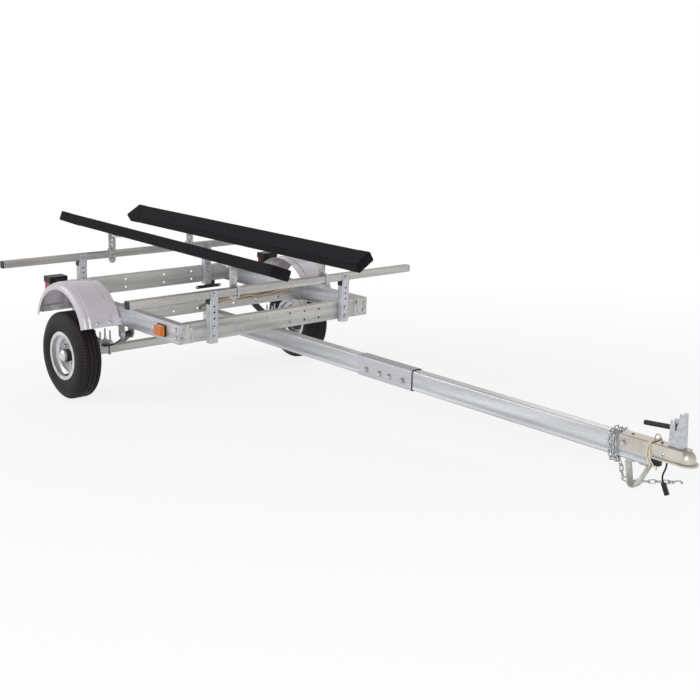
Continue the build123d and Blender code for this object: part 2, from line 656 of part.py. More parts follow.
bolt_high = BAR_Z + BRACKET_HOLE_PITCH
bolt_low = BAR_Z - BRACKET_HOLE_PITCH
with BuildPart() as bunk_bolts:
    for end_name, strip_x, inward in BRACKET_ROWS:
        bolt_far = strip_x - inward * (BAR_SIDE + FIT_GAP + BRACKET_BOLT_RADIUS)
        bolt_tail = strip_x + inward * (BRACKET_SHEET + BRACKET_BOLT_TAIL)
        for side_name in SIDES:
            bolt_y = bunk_underside(side_name, strip_x + inward * FIT_GAP)[0].Y
            with BuildLine(Plane.XZ.offset(-bolt_y)) as bolt_path:
                FilletPolyline((bolt_tail, bolt_high), (bolt_far, bolt_high), (bolt_far, bolt_low),
                               (bolt_tail, bolt_low), radius=BRACKET_BOLT_RADIUS * 1.5)
            with BuildSketch(Plane(origin=(bolt_tail, bolt_y, bolt_high), z_dir=(-inward, 0, 0))):
                Circle(BRACKET_BOLT_RADIUS)
            sweep(path=bolt_path.line)
keep("bunk_u_bolts", bunk_bolts.part)


# Tongue: two rectangular tubes joined in a sleeve, the coupler and the parking stand
def tongue_sketch():
    """The tongue's tube section, with the long seam that runs low along each side."""
    inside = 2 * TONGUE_WALL
    with BuildSketch() as section:
        RectangleRounded(TONGUE_WIDTH, TONGUE_HEIGHT, TONGUE_ROUND)
        RectangleRounded(TONGUE_WIDTH - inside, TONGUE_HEIGHT - inside, TONGUE_ROUND - TONGUE_WALL,
                         mode=Mode.SUBTRACT)
        with Locations((0, SEAM_LIFT - TONGUE_HEIGHT / 2)):
            with GridLocations(TONGUE_WIDTH, 0, 2, 1):
                Rectangle(2 * SEAM_DEPTH, SEAM_HEIGHT, mode=Mode.SUBTRACT)
    return section.sketch


# Each row: node name, rear end, front end
TONGUE_ROWS = [
    ("tongue_rear", TONGUE_TAIL, TONGUE_JOINT - FIT_GAP),
    ("tongue_front", TONGUE_JOINT, TONGUE_FRONT),
]
tongue_middle = TONGUE_TOP - TONGUE_HEIGHT / 2
for tongue_name, tongue_start, tongue_end in TONGUE_ROWS:
    with BuildPart() as tongue:
        with BuildSketch(Plane(origin=(tongue_start, 0, tongue_middle), x_dir=(0, 1, 0), z_dir=(1, 0, 0))):
            add(tongue_sketch())
        extrude(amount=tongue_end - tongue_start)
    keep(tongue_name, tongue.part)

sleeve_start = TONGUE_JOINT - SLEEVE_LENGTH / 2
with BuildPart() as sleeve:
    with BuildSketch(Plane(origin=(sleeve_start, 0, tongue_middle), x_dir=(0, 1, 0), z_dir=(1, 0, 0))):
        grown = 2 * (SLEEVE_WALL + FIT_GAP)
        RectangleRounded(TONGUE_WIDTH + grown, TONGUE_HEIGHT + grown, TONGUE_ROUND + SLEEVE_WALL)
        RectangleRounded(TONGUE_WIDTH + 2 * FIT_GAP, TONGUE_HEIGHT + 2 * FIT_GAP, TONGUE_ROUND,
                         mode=Mode.SUBTRACT)
    extrude(amount=SLEEVE_LENGTH)
keep("tongue_sleeve", sleeve.part)

coupler_inner = TONGUE_WIDTH / 2 + FIT_GAP
coupler_outer = coupler_inner + COUPLER_WALL
coupler_top = TONGUE_TOP + FIT_GAP + COUPLER_WALL
socket_inner = BALL_RADIUS + SOCKET_GAP
socket_outer = socket_inner + SOCKET_WALL
ball_z = coupler_top - socket_outer
mouth_z = ball_z - SOCKET_SKIRT
coupler_drop = coupler_top - mouth_z
lip_outer = socket_outer + SOCKET_LIP
with BuildPart() as coupler:
    with BuildSketch(Plane.XY.offset(coupler_top)):
        with Locations((COUPLER_REAR, 0)):
            Rectangle(BALL_X - COUPLER_REAR, 2 * coupler_outer, align=(Align.MIN, Align.CENTER))
    extrude(amount=-coupler_drop)
    fillet(coupler.edges().filter_by(Axis.X).group_by(Axis.Z)[-1], COUPLER_WALL * 1.5)
    with BuildSketch(Plane.XY.offset(mouth_z)):
        with Locations((TONGUE_FRONT, 0)):
            Rectangle(BALL_X - TONGUE_FRONT, 2 * lip_outer, align=(Align.MIN, Align.CENTER))
    extrude(amount=SOCKET_LIP_SHEET)
    with BuildSketch(Plane.XZ):
        with BuildLine():
            Polyline((BALL_X, ball_z + socket_outer), (BALL_X, mouth_z), (BALL_X + lip_outer, mouth_z),
                     (BALL_X + lip_outer, mouth_z + SOCKET_LIP_SHEET),
                     (BALL_X + socket_outer, mouth_z + SOCKET_LIP_SHEET * 1.6),
                     (BALL_X + socket_outer, ball_z))
            RadiusArc((BALL_X + socket_outer, ball_z), (BALL_X, ball_z + socket_outer), -socket_outer)
        make_face()
    revolve(axis=Axis((BALL_X, 0, 0), (0, 0, 1)))
    with BuildSketch(Plane.XY.offset(mouth_z)):
        with Locations((BALL_X, 0)):
            Circle(socket_inner)
    extrude(amount=ball_z - mouth_z, mode=Mode.SUBTRACT)
    with Locations((BALL_X, 0, ball_z)):
        Sphere(socket_inner, mode=Mode.SUBTRACT)
    with BuildSketch(Plane(origin=(COUPLER_REAR, 0, coupler_top - COUPLER_WALL),
                           x_dir=(0, 1, 0), z_dir=(1, 0, 0))):
        Rectangle(2 * coupler_inner, coupler_drop, align=(Align.CENTER, Align.MAX))
    extrude(amount=BALL_X - socket_outer - COUPLER_REAR, mode=Mode.SUBTRACT)
keep("coupler", coupler.part)

# Coupler latch: a tall folded yoke behind the ball, with a rod and a rubber grip
latch_front = BALL_X - LATCH_SETBACK
latch_rear = latch_front - LATCH_BASE
latch_low = coupler_top + FIT_GAP
latch_top = latch_low + LATCH_HEIGHT
with BuildPart() as latch:
    with BuildSketch(Plane.XZ.offset(-LATCH_WIDTH / 2)):
        with BuildLine():
            Polyline((latch_rear, latch_low), (latch_front, latch_low),
                     (latch_front - LATCH_LEAN, latch_top), (latch_front - LATCH_LEAN - LATCH_TIP, latch_top),
                     (latch_front - LATCH_LEAN - LATCH_NECK, latch_low + LATCH_CHEEK),
                     (latch_rear + LATCH_TAB + LATCH_NOTCH, latch_low + LATCH_CHEEK),
                     (latch_rear + LATCH_TAB, latch_low + LATCH_CHEEK + LATCH_TAB_RISE),
                     (latch_rear, latch_low + LATCH_CHEEK + LATCH_TAB_RISE), (latch_rear, latch_low))
        make_face()
    extrude(amount=LATCH_WIDTH)
    with BuildSketch(Plane.XZ.offset(-LATCH_WIDTH / 2 + LATCH_SHEET)):
        with BuildLine():
            Polyline((latch_rear - LATCH_SHEET, latch_low - LATCH_SHEET),
                     (latch_front - LATCH_SHEET, latch_low - LATCH_SHEET),
                     (latch_front - LATCH_SHEET - LATCH_LEAN, latch_top),
                     (latch_front - LATCH_SHEET - LATCH_LEAN, latch_top + LATCH_SHEET),
                     (latch_rear - LATCH_SHEET, latch_top + LATCH_SHEET),
                     (latch_rear - LATCH_SHEET, latch_low - LATCH_SHEET))
        make_face()
    extrude(amount=LATCH_WIDTH - 2 * LATCH_SHEET, mode=Mode.SUBTRACT)
keep("coupler_latch", latch.part)

# Grip of the latch: a steel rod that leaves the yoke rearward, with a dipped handle on it
grip_wall = latch_front - LATCH_SHEET - LATCH_LEAN * GRIP_HEIGHT / LATCH_HEIGHT
grip_root = (grip_wall - FIT_GAP - GRIP_ROD_RADIUS * LATCH_LEAN / LATCH_HEIGHT, 0, latch_low + GRIP_HEIGHT)
grip_run = (-cos(radians(GRIP_DROOP)), 0, -sin(radians(GRIP_DROOP)))
grip_plane = Plane(origin=grip_root, x_dir=(0, 1, 0), z_dir=grip_run)
with BuildPart() as grip_rod:
    with BuildSketch(grip_plane):
        Circle(GRIP_ROD_RADIUS)
    extrude(amount=GRIP_ROD_REACH + GRIP_LENGTH / 2)
keep("latch_rod", grip_rod.part)
with BuildPart() as grip:
    with BuildSketch(grip_plane.offset(GRIP_ROD_REACH)):
        Circle(GRIP_RADIUS)
    extrude(amount=GRIP_LENGTH)
    fillet(grip.edges().filter_by(GeomType.CIRCLE), GRIP_RADIUS * 0.4)
    with BuildSketch(grip_plane.offset(GRIP_ROD_REACH)):
        Circle(GRIP_ROD_RADIUS + FIT_GAP)
    extrude(amount=GRIP_LENGTH / 2 + FIT_GAP, mode=Mode.SUBTRACT)
keep("latch_grip", grip.part)

# Parking stand: a strap bent into a narrow V, with a foot turned in under the tongue at each end
stand_mid_radius = STAND_BEND_RADIUS - STAND_SHEET / 2
stand_top = TONGUE_BOTTOM - FIT_GAP - STAND_SHEET / 2


def stand_tangent(top_x):
    """Where a straight leg from top_x meets the rounded foot of the V."""
    run = top_x - STAND_X
    rise = stand_top - stand_centre_z
    reach = hypot(run, rise)
    turn = atan2(rise, run) + (-1 if run > 0 else 1) * acos(stand_mid_radius / reach)
    return (STAND_X + stand_mid_radius * cos(turn), stand_centre_z + stand_mid_radius * sin(turn))


stand_rear = stand_tangent(STAND_REAR_X)
stand_front = stand_tangent(STAND_FRONT_X)
with BuildPart() as stand:
    with BuildSketch(Plane.XZ.offset(-STAND_WIDTH / 2)):
        with BuildLine() as stand_line:
            FilletPolyline((STAND_REAR_X + STAND_FLANGE, stand_top), (STAND_REAR_X, stand_top), stand_rear,
                           radius=STAND_SHEET)
            ThreePointArc(stand_rear, (STAND_X, STAND_BOTTOM + STAND_SHEET / 2), stand_front)
            FilletPolyline(stand_front, (STAND_FRONT_X, stand_top),
                           (STAND_FRONT_X - STAND_FLANGE, stand_top), radius=STAND_SHEET)
        trace(stand_line.line, STAND_SHEET)
    extrude(amount=STAND_WIDTH)
keep("tongue_stand", stand.part)

# Fenders: a beaded sheet section turned through an arc, open below the wheel
fender_z = AXLE_Z + FENDER_RISE
fender_axis = Axis((0, 0, fender_z), (0, 1, 0))
fender_start = radians(FENDER_ARC / 2)
fender_low = FENDER_RADIUS - FENDER_STEP
fender_inside = fender_low - FENDER_SHEET / 2
for side_name, side in SIDES.items():
    fender_plane = Plane(origin=(0, 0, fender_z), x_dir=(0, side, 0),
                         z_dir=(side * cos(fender_start), 0, side * sin(fender_start)))
    with BuildPart() as fender:
        with BuildSketch(fender_plane):
            with BuildLine() as fender_line:
                skirt = Line((FENDER_OUTER_Y, FENDER_RADIUS - FENDER_LIP - FENDER_SKIRT),
                             (FENDER_OUTER_Y, FENDER_RADIUS - FENDER_LIP))
                roll = TangentArc(skirt @ 1, (FENDER_OUTER_Y - FENDER_ROLL, fender_low), tangent=skirt % 1)
                rise = Line(roll @ 1, roll @ 1 + Vector(-FENDER_BEAD_SLOPE, FENDER_STEP))
                fall_start = (FENDER_INNER_Y + FENDER_FLAT + FENDER_BEAD_SLOPE, FENDER_RADIUS)
                crown = Line(rise @ 1, fall_start)
                fall = Line(crown @ 1, (FENDER_INNER_Y + FENDER_FLAT, fender_low))
                Line(fall @ 1, (FENDER_INNER_Y, fender_low))
            trace(fender_line.line, FENDER_SHEET)
        revolve(axis=fender_axis, revolution_arc=FENDER_ARC)
    keep(f"fender_{side_name}", fender.part)

# Fender stays: a flat strip under each end of the arc, with a foot on the rail
stay_radius = (fender_inside - FIT_GAP) * cos(STAY_HEIGHT / 2 / fender_inside)
with BuildPart() as stays:
    for side in SIDES.values():
        for end in (-1, 1):
            middle = fender_start - STAY_HEIGHT / 2 / fender_inside
            outward = Vector(end * sin(middle), 0, cos(middle))
            root = Vector(0, side * FRAME_HALF_WIDTH, fender_z) + outward * stay_radius
            strip = Plane(origin=root, x_dir=(0, side, 0), z_dir=outward)
            with BuildSketch(strip):
                Rectangle(STAY_LENGTH, STAY_HEIGHT, align=(Align.MIN, Align.CENTER))
            extrude(amount=-STAY_SHEET)
            with BuildSketch(Plane(origin=root - outward * STAY_SHEET, x_dir=-outward, z_dir=(0, side, 0))):
                Rectangle(STAY_FOOT, STAY_HEIGHT, align=(Align.MIN, Align.CENTER))
            extrude(amount=STAY_SHEET)
keep("fender_stays", stays.part)

# Tail lamps on brackets behind the fenders
fender_outside = FENDER_RADIUS + FENDER_SHEET / 2 + FIT_GAP
lamp_bottom = fender_z + TAIL_LAMP_LIFT
bracket_z = fender_z + LAMP_BRACKET_LIFT
bracket_end = -sqrt(fender_outside ** 2 - (LAMP_BRACKET_LIFT - LAMP_BRACKET_SHEET) ** 2)
with BuildPart() as lamp_brackets:
    for _, lamp_y in both_sides(TAIL_LAMP_Y):
        with BuildSketch(Plane.XZ.offset(-lamp_y + LAMP_BRACKET_WIDTH / 2)):
            with Locations((TAIL_LAMP_FRONT, bracket_z)):
                Rectangle(bracket_end - TAIL_LAMP_FRONT, LAMP_BRACKET_SHEET, align=(Align.MIN, Align.MAX))
            with Locations((TAIL_LAMP_FRONT, bracket_z)):
                Rectangle(LAMP_BRACKET_SHEET, TAIL_LAMP_HEIGHT / 2, align=(Align.MIN, Align.MIN))
        extrude(amount=-LAMP_BRACKET_WIDTH)
keep("lamp_brackets", lamp_brackets.part)
lamp_rear = TAIL_LAMP_FRONT - FIT_GAP - TAIL_LAMP_HOUSING
lens_rear = lamp_rear - FIT_GAP - TAIL_LENS_DEPTH
with BuildPart() as lamp_housings:
    for side in SIDES.values():
        with BuildSketch(Plane.XY.offset(lamp_bottom)):
            with Locations((TAIL_LAMP_FRONT - FIT_GAP, side * TAIL_LAMP_Y)):
                Rectangle(TAIL_LAMP_HOUSING, TAIL_LAMP_WIDTH, align=(Align.MAX, Align.CENTER))
            with Locations((lamp_rear, side * (TAIL_LAMP_Y + TAIL_LAMP_WIDTH / 2))):
                with Locations((TAIL_LENS_WRAP / 2, 0)):
                    Rectangle(TAIL_LENS_WRAP, 2 * TAIL_LENS_WING, mode=Mode.SUBTRACT)
        extrude(amount=TAIL_LAMP_HEIGHT)
keep("tail_lamp_housings", lamp_housings.part)
with BuildPart() as lamp_lenses:
    for side in SIDES.values():
        with BuildSketch(Plane.XY.offset(lamp_bottom)):
            with Locations((lamp_rear - FIT_GAP, side * TAIL_LAMP_Y)):
                Rectangle(TAIL_LENS_DEPTH, TAIL_LAMP_WIDTH, align=(Align.MAX, Align.CENTER))
            wing_outer = side * (TAIL_LAMP_Y + TAIL_LAMP_WIDTH / 2)
            wing_inner = wing_outer - side * (TAIL_LENS_WING - FIT_GAP)
            with Locations((lens_rear, (wing_outer + wing_inner) / 2)):
                Rectangle(lamp_rear - lens_rear + TAIL_LENS_WRAP - FIT_GAP, TAIL_LENS_WING - FIT_GAP,
                          align=(Align.MIN, Align.CENTER))
        extrude(amount=TAIL_LAMP_HEIGHT)
    fillet(lamp_lenses.edges().filter_by(Axis.Z).group_by(Axis.X)[0], TAIL_LAMP_ROUND)
keep("tail_lamp_lenses", lamp_lenses.part)

# Amber side markers on the rails
marker_z = FRAME_BOTTOM + RAIL_HEIGHT / 2
# Each row: node name, distance of its root from the rail, depth, growth of its outline, taper
MARKER_ROWS = [
    ("marker_bases", FIT_GAP, MARKER_BASE, MARKER_ROUND, 0),
    ("marker_lenses", 2 * FIT_GAP + MARKER_BASE, MARKER_DEPTH, 0, 8),
]
for row_name, row_root, row_depth, row_growth, row_taper in MARKER_ROWS:
    with BuildPart() as markers:
        for side in SIDES.values():
            with BuildSketch(Plane(origin=(MARKER_X, side * (FRAME_HALF_WIDTH + row_root), marker_z),
                                   x_dir=(1, 0, 0), z_dir=(0, side, 0))):
                RectangleRounded(MARKER_LENGTH + row_growth, MARKER_HEIGHT + row_growth, MARKER_ROUND)
            extrude(amount=row_depth, taper=row_taper)
    keep(row_name, markers.part)

# Licence bracket: a lamp block below the rear member and the drilled bar that it carries
plate_top = FRAME_BOTTOM - FIT_GAP
bar_top = plate_top - PLATE_LAMP_HEIGHT + PLATE_BRACKET_SHEET
with BuildPart() as plate_bracket:
    with BuildSketch(Plane.XY.offset(plate_top)):
        with Locations((REAR_MEMBER_FRONT, PLATE_BRACKET_Y)):
            Rectangle(PLATE_LAMP_DEPTH, PLATE_LAMP_WIDTH, align=(Align.MAX, Align.CENTER))
    extrude(amount=-PLATE_LAMP_HEIGHT)
    fillet(plate_bracket.edges().filter_by(Axis.Z), PLATE_LAMP_ROUND)
    with BuildSketch(Plane(origin=(REAR_MEMBER_FRONT - PLATE_LAMP_DEPTH, PLATE_BRACKET_Y, bar_top),
                           x_dir=(0, 1, 0), z_dir=(1, 0, 0))):
        with Locations((0, -PLATE_BRACKET_HEIGHT / 2)):
            SlotOverall(PLATE_BRACKET_WIDTH, PLATE_BRACKET_HEIGHT)
            with GridLocations(PLATE_BRACKET_WIDTH - PLATE_BRACKET_HEIGHT, 0, 2, 1):
                Circle(PLATE_HOLE_RADIUS, mode=Mode.SUBTRACT)
    extrude(amount=PLATE_BRACKET_SHEET)
keep("licence_bracket", plate_bracket.part)

# Safety chain: octagonal links threaded alternately flat and on edge along one route
link_half_length = CHAIN_INNER_LENGTH / 2 + CHAIN_WIRE
link_half_width = CHAIN_INNER_WIDTH / 2 + CHAIN_WIRE
flat_pitch = CHAIN_INNER_LENGTH + CHAIN_WIRE
OCTAGON_CORNER = 2 - sqrt(2)
SAMPLE = 0.05
bar_radius = CHAIN_WIRE / 2 / cos(radians(22.5))
edge_pitch = CHAIN_INNER_LENGTH - 2 * (CHAIN_PLAY + bar_radius)
with BuildPart() as link:
    with BuildSketch():
        with BuildSketch(mode=Mode.PRIVATE) as link_hole:
            Rectangle(CHAIN_INNER_LENGTH, CHAIN_INNER_WIDTH)
            chamfer(link_hole.vertices(), CHAIN_INNER_CORNER)
        with BuildSketch(mode=Mode.PRIVATE) as link_outside:
            Rectangle(2 * link_half_length, 2 * link_half_width)
            chamfer(link_outside.vertices(), link_half_width * OCTAGON_CORNER)
        add(link_outside.sketch)
        add(link_hole.sketch, mode=Mode.SUBTRACT)
    extrude(amount=CHAIN_WIRE / 2, both=True)
    link_rims = link.faces().filter_by(Axis.Z).edges()
    chamfer(link_rims, CHAIN_WIRE / 2 * OCTAGON_CORNER)

# Route: one and a half turns round the tongue from its top, a drop to the floor and a run along it
chain_lift = link_half_width + CHAIN_REST
wrap_half_width = TONGUE_WIDTH / 2 + link_half_width + CHAIN_SIDE_GAP
wrap_top = TONGUE_TOP + chain_lift
wrap_bottom = TONGUE_BOTTOM - CHAIN_BELOW_TONGUE
with BuildLine(Plane.YZ) as wrap_line:
    FilletPolyline((0, wrap_top), (-wrap_half_width, wrap_top), (-wrap_half_width, wrap_bottom),
                   (wrap_half_width, wrap_bottom), (wrap_half_width, wrap_top), (SAMPLE, wrap_top),
                   radius=CHAIN_CORNER)
wrap = wrap_line.wires()[0]
wrap_length = wrap.length
wrap_count = int(1.5 * wrap_length / SAMPLE)
route = []
for k in range(wrap_count):
    turn = k * SAMPLE / wrap_length
    place = wrap.position_at(turn % 1.0)
    route.append(Vector(CHAIN_START_X + turn * CHAIN_TURN_STEP, place.Y, place.Z))
floor_heading = Vector(cos(radians(CHAIN_FLOOR_ANGLE)), sin(radians(CHAIN_FLOOR_ANGLE)), 0)
floor_corner = Vector(CHAIN_FLOOR_X, CHAIN_FLOOR_Y, floor_z(CHAIN_FLOOR_X) + chain_lift)
floor_finish = floor_corner + floor_heading * CHAIN_FLOOR_RUN
floor_finish = Vector(floor_finish.X, floor_finish.Y, floor_z(floor_finish.X) + chain_lift)
drop_start = route[-1]
with BuildLine() as drop_line:
    FilletPolyline(drop_start, floor_corner, floor_finish, radius=CHAIN_FLOOR_BEND)
drop = drop_line.wires()[0]
drop_count = int(drop.length / SAMPLE)
route += [drop.position_at(k / drop_count) for k in range(1, drop_count + 1)]
floor_side = Vector(floor_heading.Y, -floor_heading.X, 0)

pivots = [route[0] + Vector(0, edge_pitch / 2, 0)]
for place in route:
    pitch = edge_pitch if len(pivots) % 2 else flat_pitch
    if (place - pivots[-1]).length >= pitch:
        pivots.append(place)
link_places = []
side_turn = degrees(atan2(floor_side.Y, floor_side.X))
first_hanging = 0
for k, (start, finish) in enumerate(zip(pivots, pivots[1:])):
    heading = (finish - start).normalized()
    middle = (start + finish) * 0.5
    if middle.Z > drop_start.Z:
        first_hanging = k + 1
    fallen = min(max((k - first_hanging + 1) / CHAIN_TWIST_LINKS, 0), 1)
    flat_side = Vector(1, 0, 0).rotate(Axis.Z, fallen * side_turn)
    flat_normal = heading.cross(flat_side).normalized()
    link_normal = flat_normal if k % 2 else flat_normal.cross(heading)
    link_places.append(Plane(origin=middle, x_dir=heading, z_dir=link_normal))
if len(link_places) % 2 == 0:
    link_places.pop()
with BuildPart() as chain:
    with Locations(*link_places):
        add(link.part)
keep("safety_chain", chain.part)
print("chain links", len(link_places))

# Hook at the free end: two arcs of wire that meet in an S, its eye round the last link's end bar
last_plane = link_places[-1]
hook_heading = last_plane.x_dir
hook_reach = link_half_length - CHAIN_WIRE + HOOK_EYE_RADIUS - HOOK_WIRE_RADIUS - HOOK_GAP
hook_normal = hook_heading.cross(Vector(-hook_heading.Y, hook_heading.X, 0)).normalized()
hook_plane = Plane(origin=last_plane.origin + hook_heading * hook_reach,
                   x_dir=hook_heading, z_dir=hook_normal)
with BuildPart() as hook:
    with BuildLine(hook_plane) as hook_line:
        eye = CenterArc((0, 0), HOOK_EYE_RADIUS, 40, 320)
        CenterArc((HOOK_EYE_RADIUS + HOOK_BOW_RADIUS, 0), HOOK_BOW_RADIUS, 180, -230)
    with BuildSketch(Plane(origin=eye @ 0, z_dir=eye % 0)):
        Circle(HOOK_WIRE_RADIUS)
    sweep(path=hook_line.line)
keep("chain_hook", hook.part)

# Harness: connector under the coupler, its loop of wire, the tail with its plug and the loom on the frame
harness_y = -(coupler_inner + coupler_outer) / 2
connector_low = mouth_z - FIT_GAP - CONNECTOR_HEIGHT
with BuildPart() as connector:
    with BuildSketch(Plane.XY.offset(connector_low)):
        with Locations((CONNECTOR_X, harness_y)):
            Rectangle(CONNECTOR_LENGTH, CONNECTOR_WIDTH, align=(Align.MIN, Align.CENTER))
    extrude(amount=CONNECTOR_HEIGHT)
    fillet(connector.edges().filter_by(Axis.Z), CONNECTOR_WIDTH / 5)
keep("harness_connector", connector.part)

loop_half = coupler_outer + HARNESS_RADIUS + HARNESS_GAP
loop_top = coupler_top + HARNESS_RADIUS + HARNESS_GAP
loop_low = TONGUE_BOTTOM - HARNESS_RADIUS - HARNESS_GAP
with BuildPart() as wire_loop:
    with BuildLine(Plane.YZ.offset(HARNESS_LOOP_X)) as loop_line:
        FilletPolyline((HARNESS_RADIUS * 1.5, loop_low), (loop_half, loop_low), (loop_half, loop_top),
                       (-loop_half, loop_top), (-loop_half, loop_low), (-HARNESS_RADIUS * 1.5, loop_low),
                       radius=HARNESS_RADIUS * 4)
    with BuildSketch(Plane(origin=(HARNESS_LOOP_X, HARNESS_RADIUS * 1.5, loop_low), z_dir=(0, 1, 0))):
        Circle(HARNESS_RADIUS)
    sweep(path=loop_line.line)
keep("harness_loop", wire_loop.part)

# Tail cord: the points are the corners of its route, beside the harness, from the coupler down to the plug
CORD_POINTS = [(2864, 0, mouth_z - FIT_GAP), (2864, 0, 312), (2853, 1, 287), (2850, 1, 268), (2856, 2, 254)]
CORD_BEND_SHARE = 0.45
cord_points = [Vector(x, harness_y + y, z) for x, y, z in CORD_POINTS]
cord_runs = [finish - start for start, finish in zip(cord_points, cord_points[1:])]
cord_radii = []
for run, following in zip(cord_runs, cord_runs[1:]):
    half_turn = radians(run.get_angle(following)) / 2
    cord_radii.append(CORD_BEND_SHARE * min(run.length, following.length) / tan(half_turn))
print("cord radii", [round(radius, 1) for radius in cord_radii])
with BuildPart() as tail_cord:
    with BuildLine() as cord_line:
        FilletPolyline(*cord_points, radius=cord_radii)
    with BuildSketch(Plane(origin=cord_points[0], z_dir=cord_runs[0])):
        Circle(TAIL_CORD_RADIUS)
    sweep(path=cord_line.line)
keep("tail_cord", tail_cord.part)
plug_plane = Plane(origin=cord_points[-1], z_dir=cord_runs[-1])
with BuildPart() as plug:
    with BuildSketch(plug_plane):
        RectangleRounded(2 * PLUG_RADIUS, 1.2 * PLUG_RADIUS, PLUG_RADIUS * 0.4)
    extrude(amount=PLUG_LENGTH)
keep("tail_plug", plug.part)

# Loom along the middle member to the left rail: the points are across and up on its front face
loom_x = MID_MEMBER_FRONT + FIT_GAP + LOOM_RADIUS
LOOM_POINTS = [(-100, 400), (60, 432), (260, 424), (member_half - LOOM_END_GAP, 434)]
loom_points = [Vector(loom_x, across, up) for across, up in LOOM_POINTS]
with BuildPart() as loom:
    with BuildLine() as loom_line:
        FilletPolyline(*loom_points, radius=20 * LOOM_RADIUS)
    with BuildSketch(Plane(origin=loom_points[0], z_dir=loom_points[1] - loom_points[0])):
        Circle(LOOM_RADIUS)
    sweep(path=loom_line.line)
keep("wiring_loom", loom.part)

# Parked on its wheels and stand, centred over the origin
parked = Pos(0, 0, AXLE_Z) * Rot(0, degrees(park_angle), 0) * Pos(0, 0, -AXLE_Z)
placed = {name: parked * shape for name, shape in nodes.items()}
boxes = [shape.bounding_box() for shape in placed.values()]
centre_x = (min(box.min.X for box in boxes) + max(box.max.X for box in boxes)) / 2
os.makedirs("parts", exist_ok=True)
for name, shape in placed.items():
    piece = Pos(-centre_x, 0, 0) * shape
    piece.label = name
    export_step(piece, f"parts/{name}.step")
AXLE_POINT = (-centre_x, 0.0, AXLE_Z)
print("axle at", [round(value, 3) for value in AXLE_POINT], "park angle", round(degrees(park_angle), 4))
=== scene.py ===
"""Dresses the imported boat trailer: finishes, tyres, bolts, chain, carpet and wires, in a pale studio."""

import bmesh
import bpy
import json
import math
from mathutils import Matrix, Vector
from mathutils import noise as smooth_noise


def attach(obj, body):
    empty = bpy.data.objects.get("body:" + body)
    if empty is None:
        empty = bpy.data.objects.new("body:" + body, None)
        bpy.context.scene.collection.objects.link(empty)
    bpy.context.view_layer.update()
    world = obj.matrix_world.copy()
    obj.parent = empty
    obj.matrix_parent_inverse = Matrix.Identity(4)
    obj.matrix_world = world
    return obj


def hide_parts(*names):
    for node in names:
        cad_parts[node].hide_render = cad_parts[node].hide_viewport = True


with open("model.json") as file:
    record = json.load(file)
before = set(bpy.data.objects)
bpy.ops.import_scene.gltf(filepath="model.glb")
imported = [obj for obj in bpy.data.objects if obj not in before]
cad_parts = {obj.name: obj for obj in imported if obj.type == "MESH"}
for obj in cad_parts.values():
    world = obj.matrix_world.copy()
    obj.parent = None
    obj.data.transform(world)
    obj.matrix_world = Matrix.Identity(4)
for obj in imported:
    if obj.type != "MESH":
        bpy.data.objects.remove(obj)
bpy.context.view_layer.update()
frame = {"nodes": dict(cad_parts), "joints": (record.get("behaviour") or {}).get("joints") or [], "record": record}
nodes = frame["nodes"]

# Sizes of the level trailer, in metres, with the axle at x = 0
AXLE_Z = 0.2095
WHEEL_Y = 0.697
SIDES = {"right": -1, "left": 1}
STAND_X = 2.722
STAND_BOTTOM = 0.193
STAND_BEND = 0.020
FRAME_HALF_WIDTH = 0.559
FRAME_BOTTOM = 0.379
RAIL_HEIGHT = 0.088
MEMBER_FRONTS = {"front": 0.707, "mid": 0.203, "rear": -0.452}
MEMBER_FLANGE = 0.038
CORNER_PLATE = 0.0032
CORNER_PLATE_WIDTH = 0.084
POST_Y = 0.390
POST_WIDTH = 0.044
POST_DEPTH = 0.033
POST_WALL = 0.003
POST_CAP_TOP = 0.5727
FIT_GAP = 0.0003
BAR_SIDE = 0.035
BAR_Z = 0.5905
BRACKET_SHEET = 0.004
BRACKET_HOLE_PITCH = 0.025
BRACKET_TAB = 0.062
TONGUE_TOP = 0.379
TONGUE_BOTTOM = 0.295
SLEEVE_OUTER = 0.0297
SLEEVE_FRONT = 1.632
COUPLER_OUTER = 0.0297
COUPLER_TOP = 0.3833
COUPLER_MOUTH = 0.33189
HARNESS_X = 2.795
HARNESS_Y = -0.0277

# The level trailer is tipped about its axle until its stand meets the floor
stand_centre_drop = AXLE_Z - STAND_BOTTOM - STAND_BEND
lever = math.hypot(STAND_X, stand_centre_drop)
park_angle = math.asin((AXLE_Z - STAND_BEND) / lever) - math.atan2(stand_centre_drop, STAND_X)
axle_x = frame["joints"][0]["pos_m"][0]
PARK = (Matrix.Translation((axle_x, 0, AXLE_Z)) @ Matrix.Rotation(park_angle, 4, "Y")
        @ Matrix.Translation((0, 0, -AXLE_Z)))


def at(x, y, z):
    """A point of the level trailer, in the row frame."""
    return PARK @ Vector((x, y, z))


def along(x, y, z):
    """A direction of the level trailer, in the row frame."""
    return (PARK.to_3x3() @ Vector((x, y, z))).normalized()


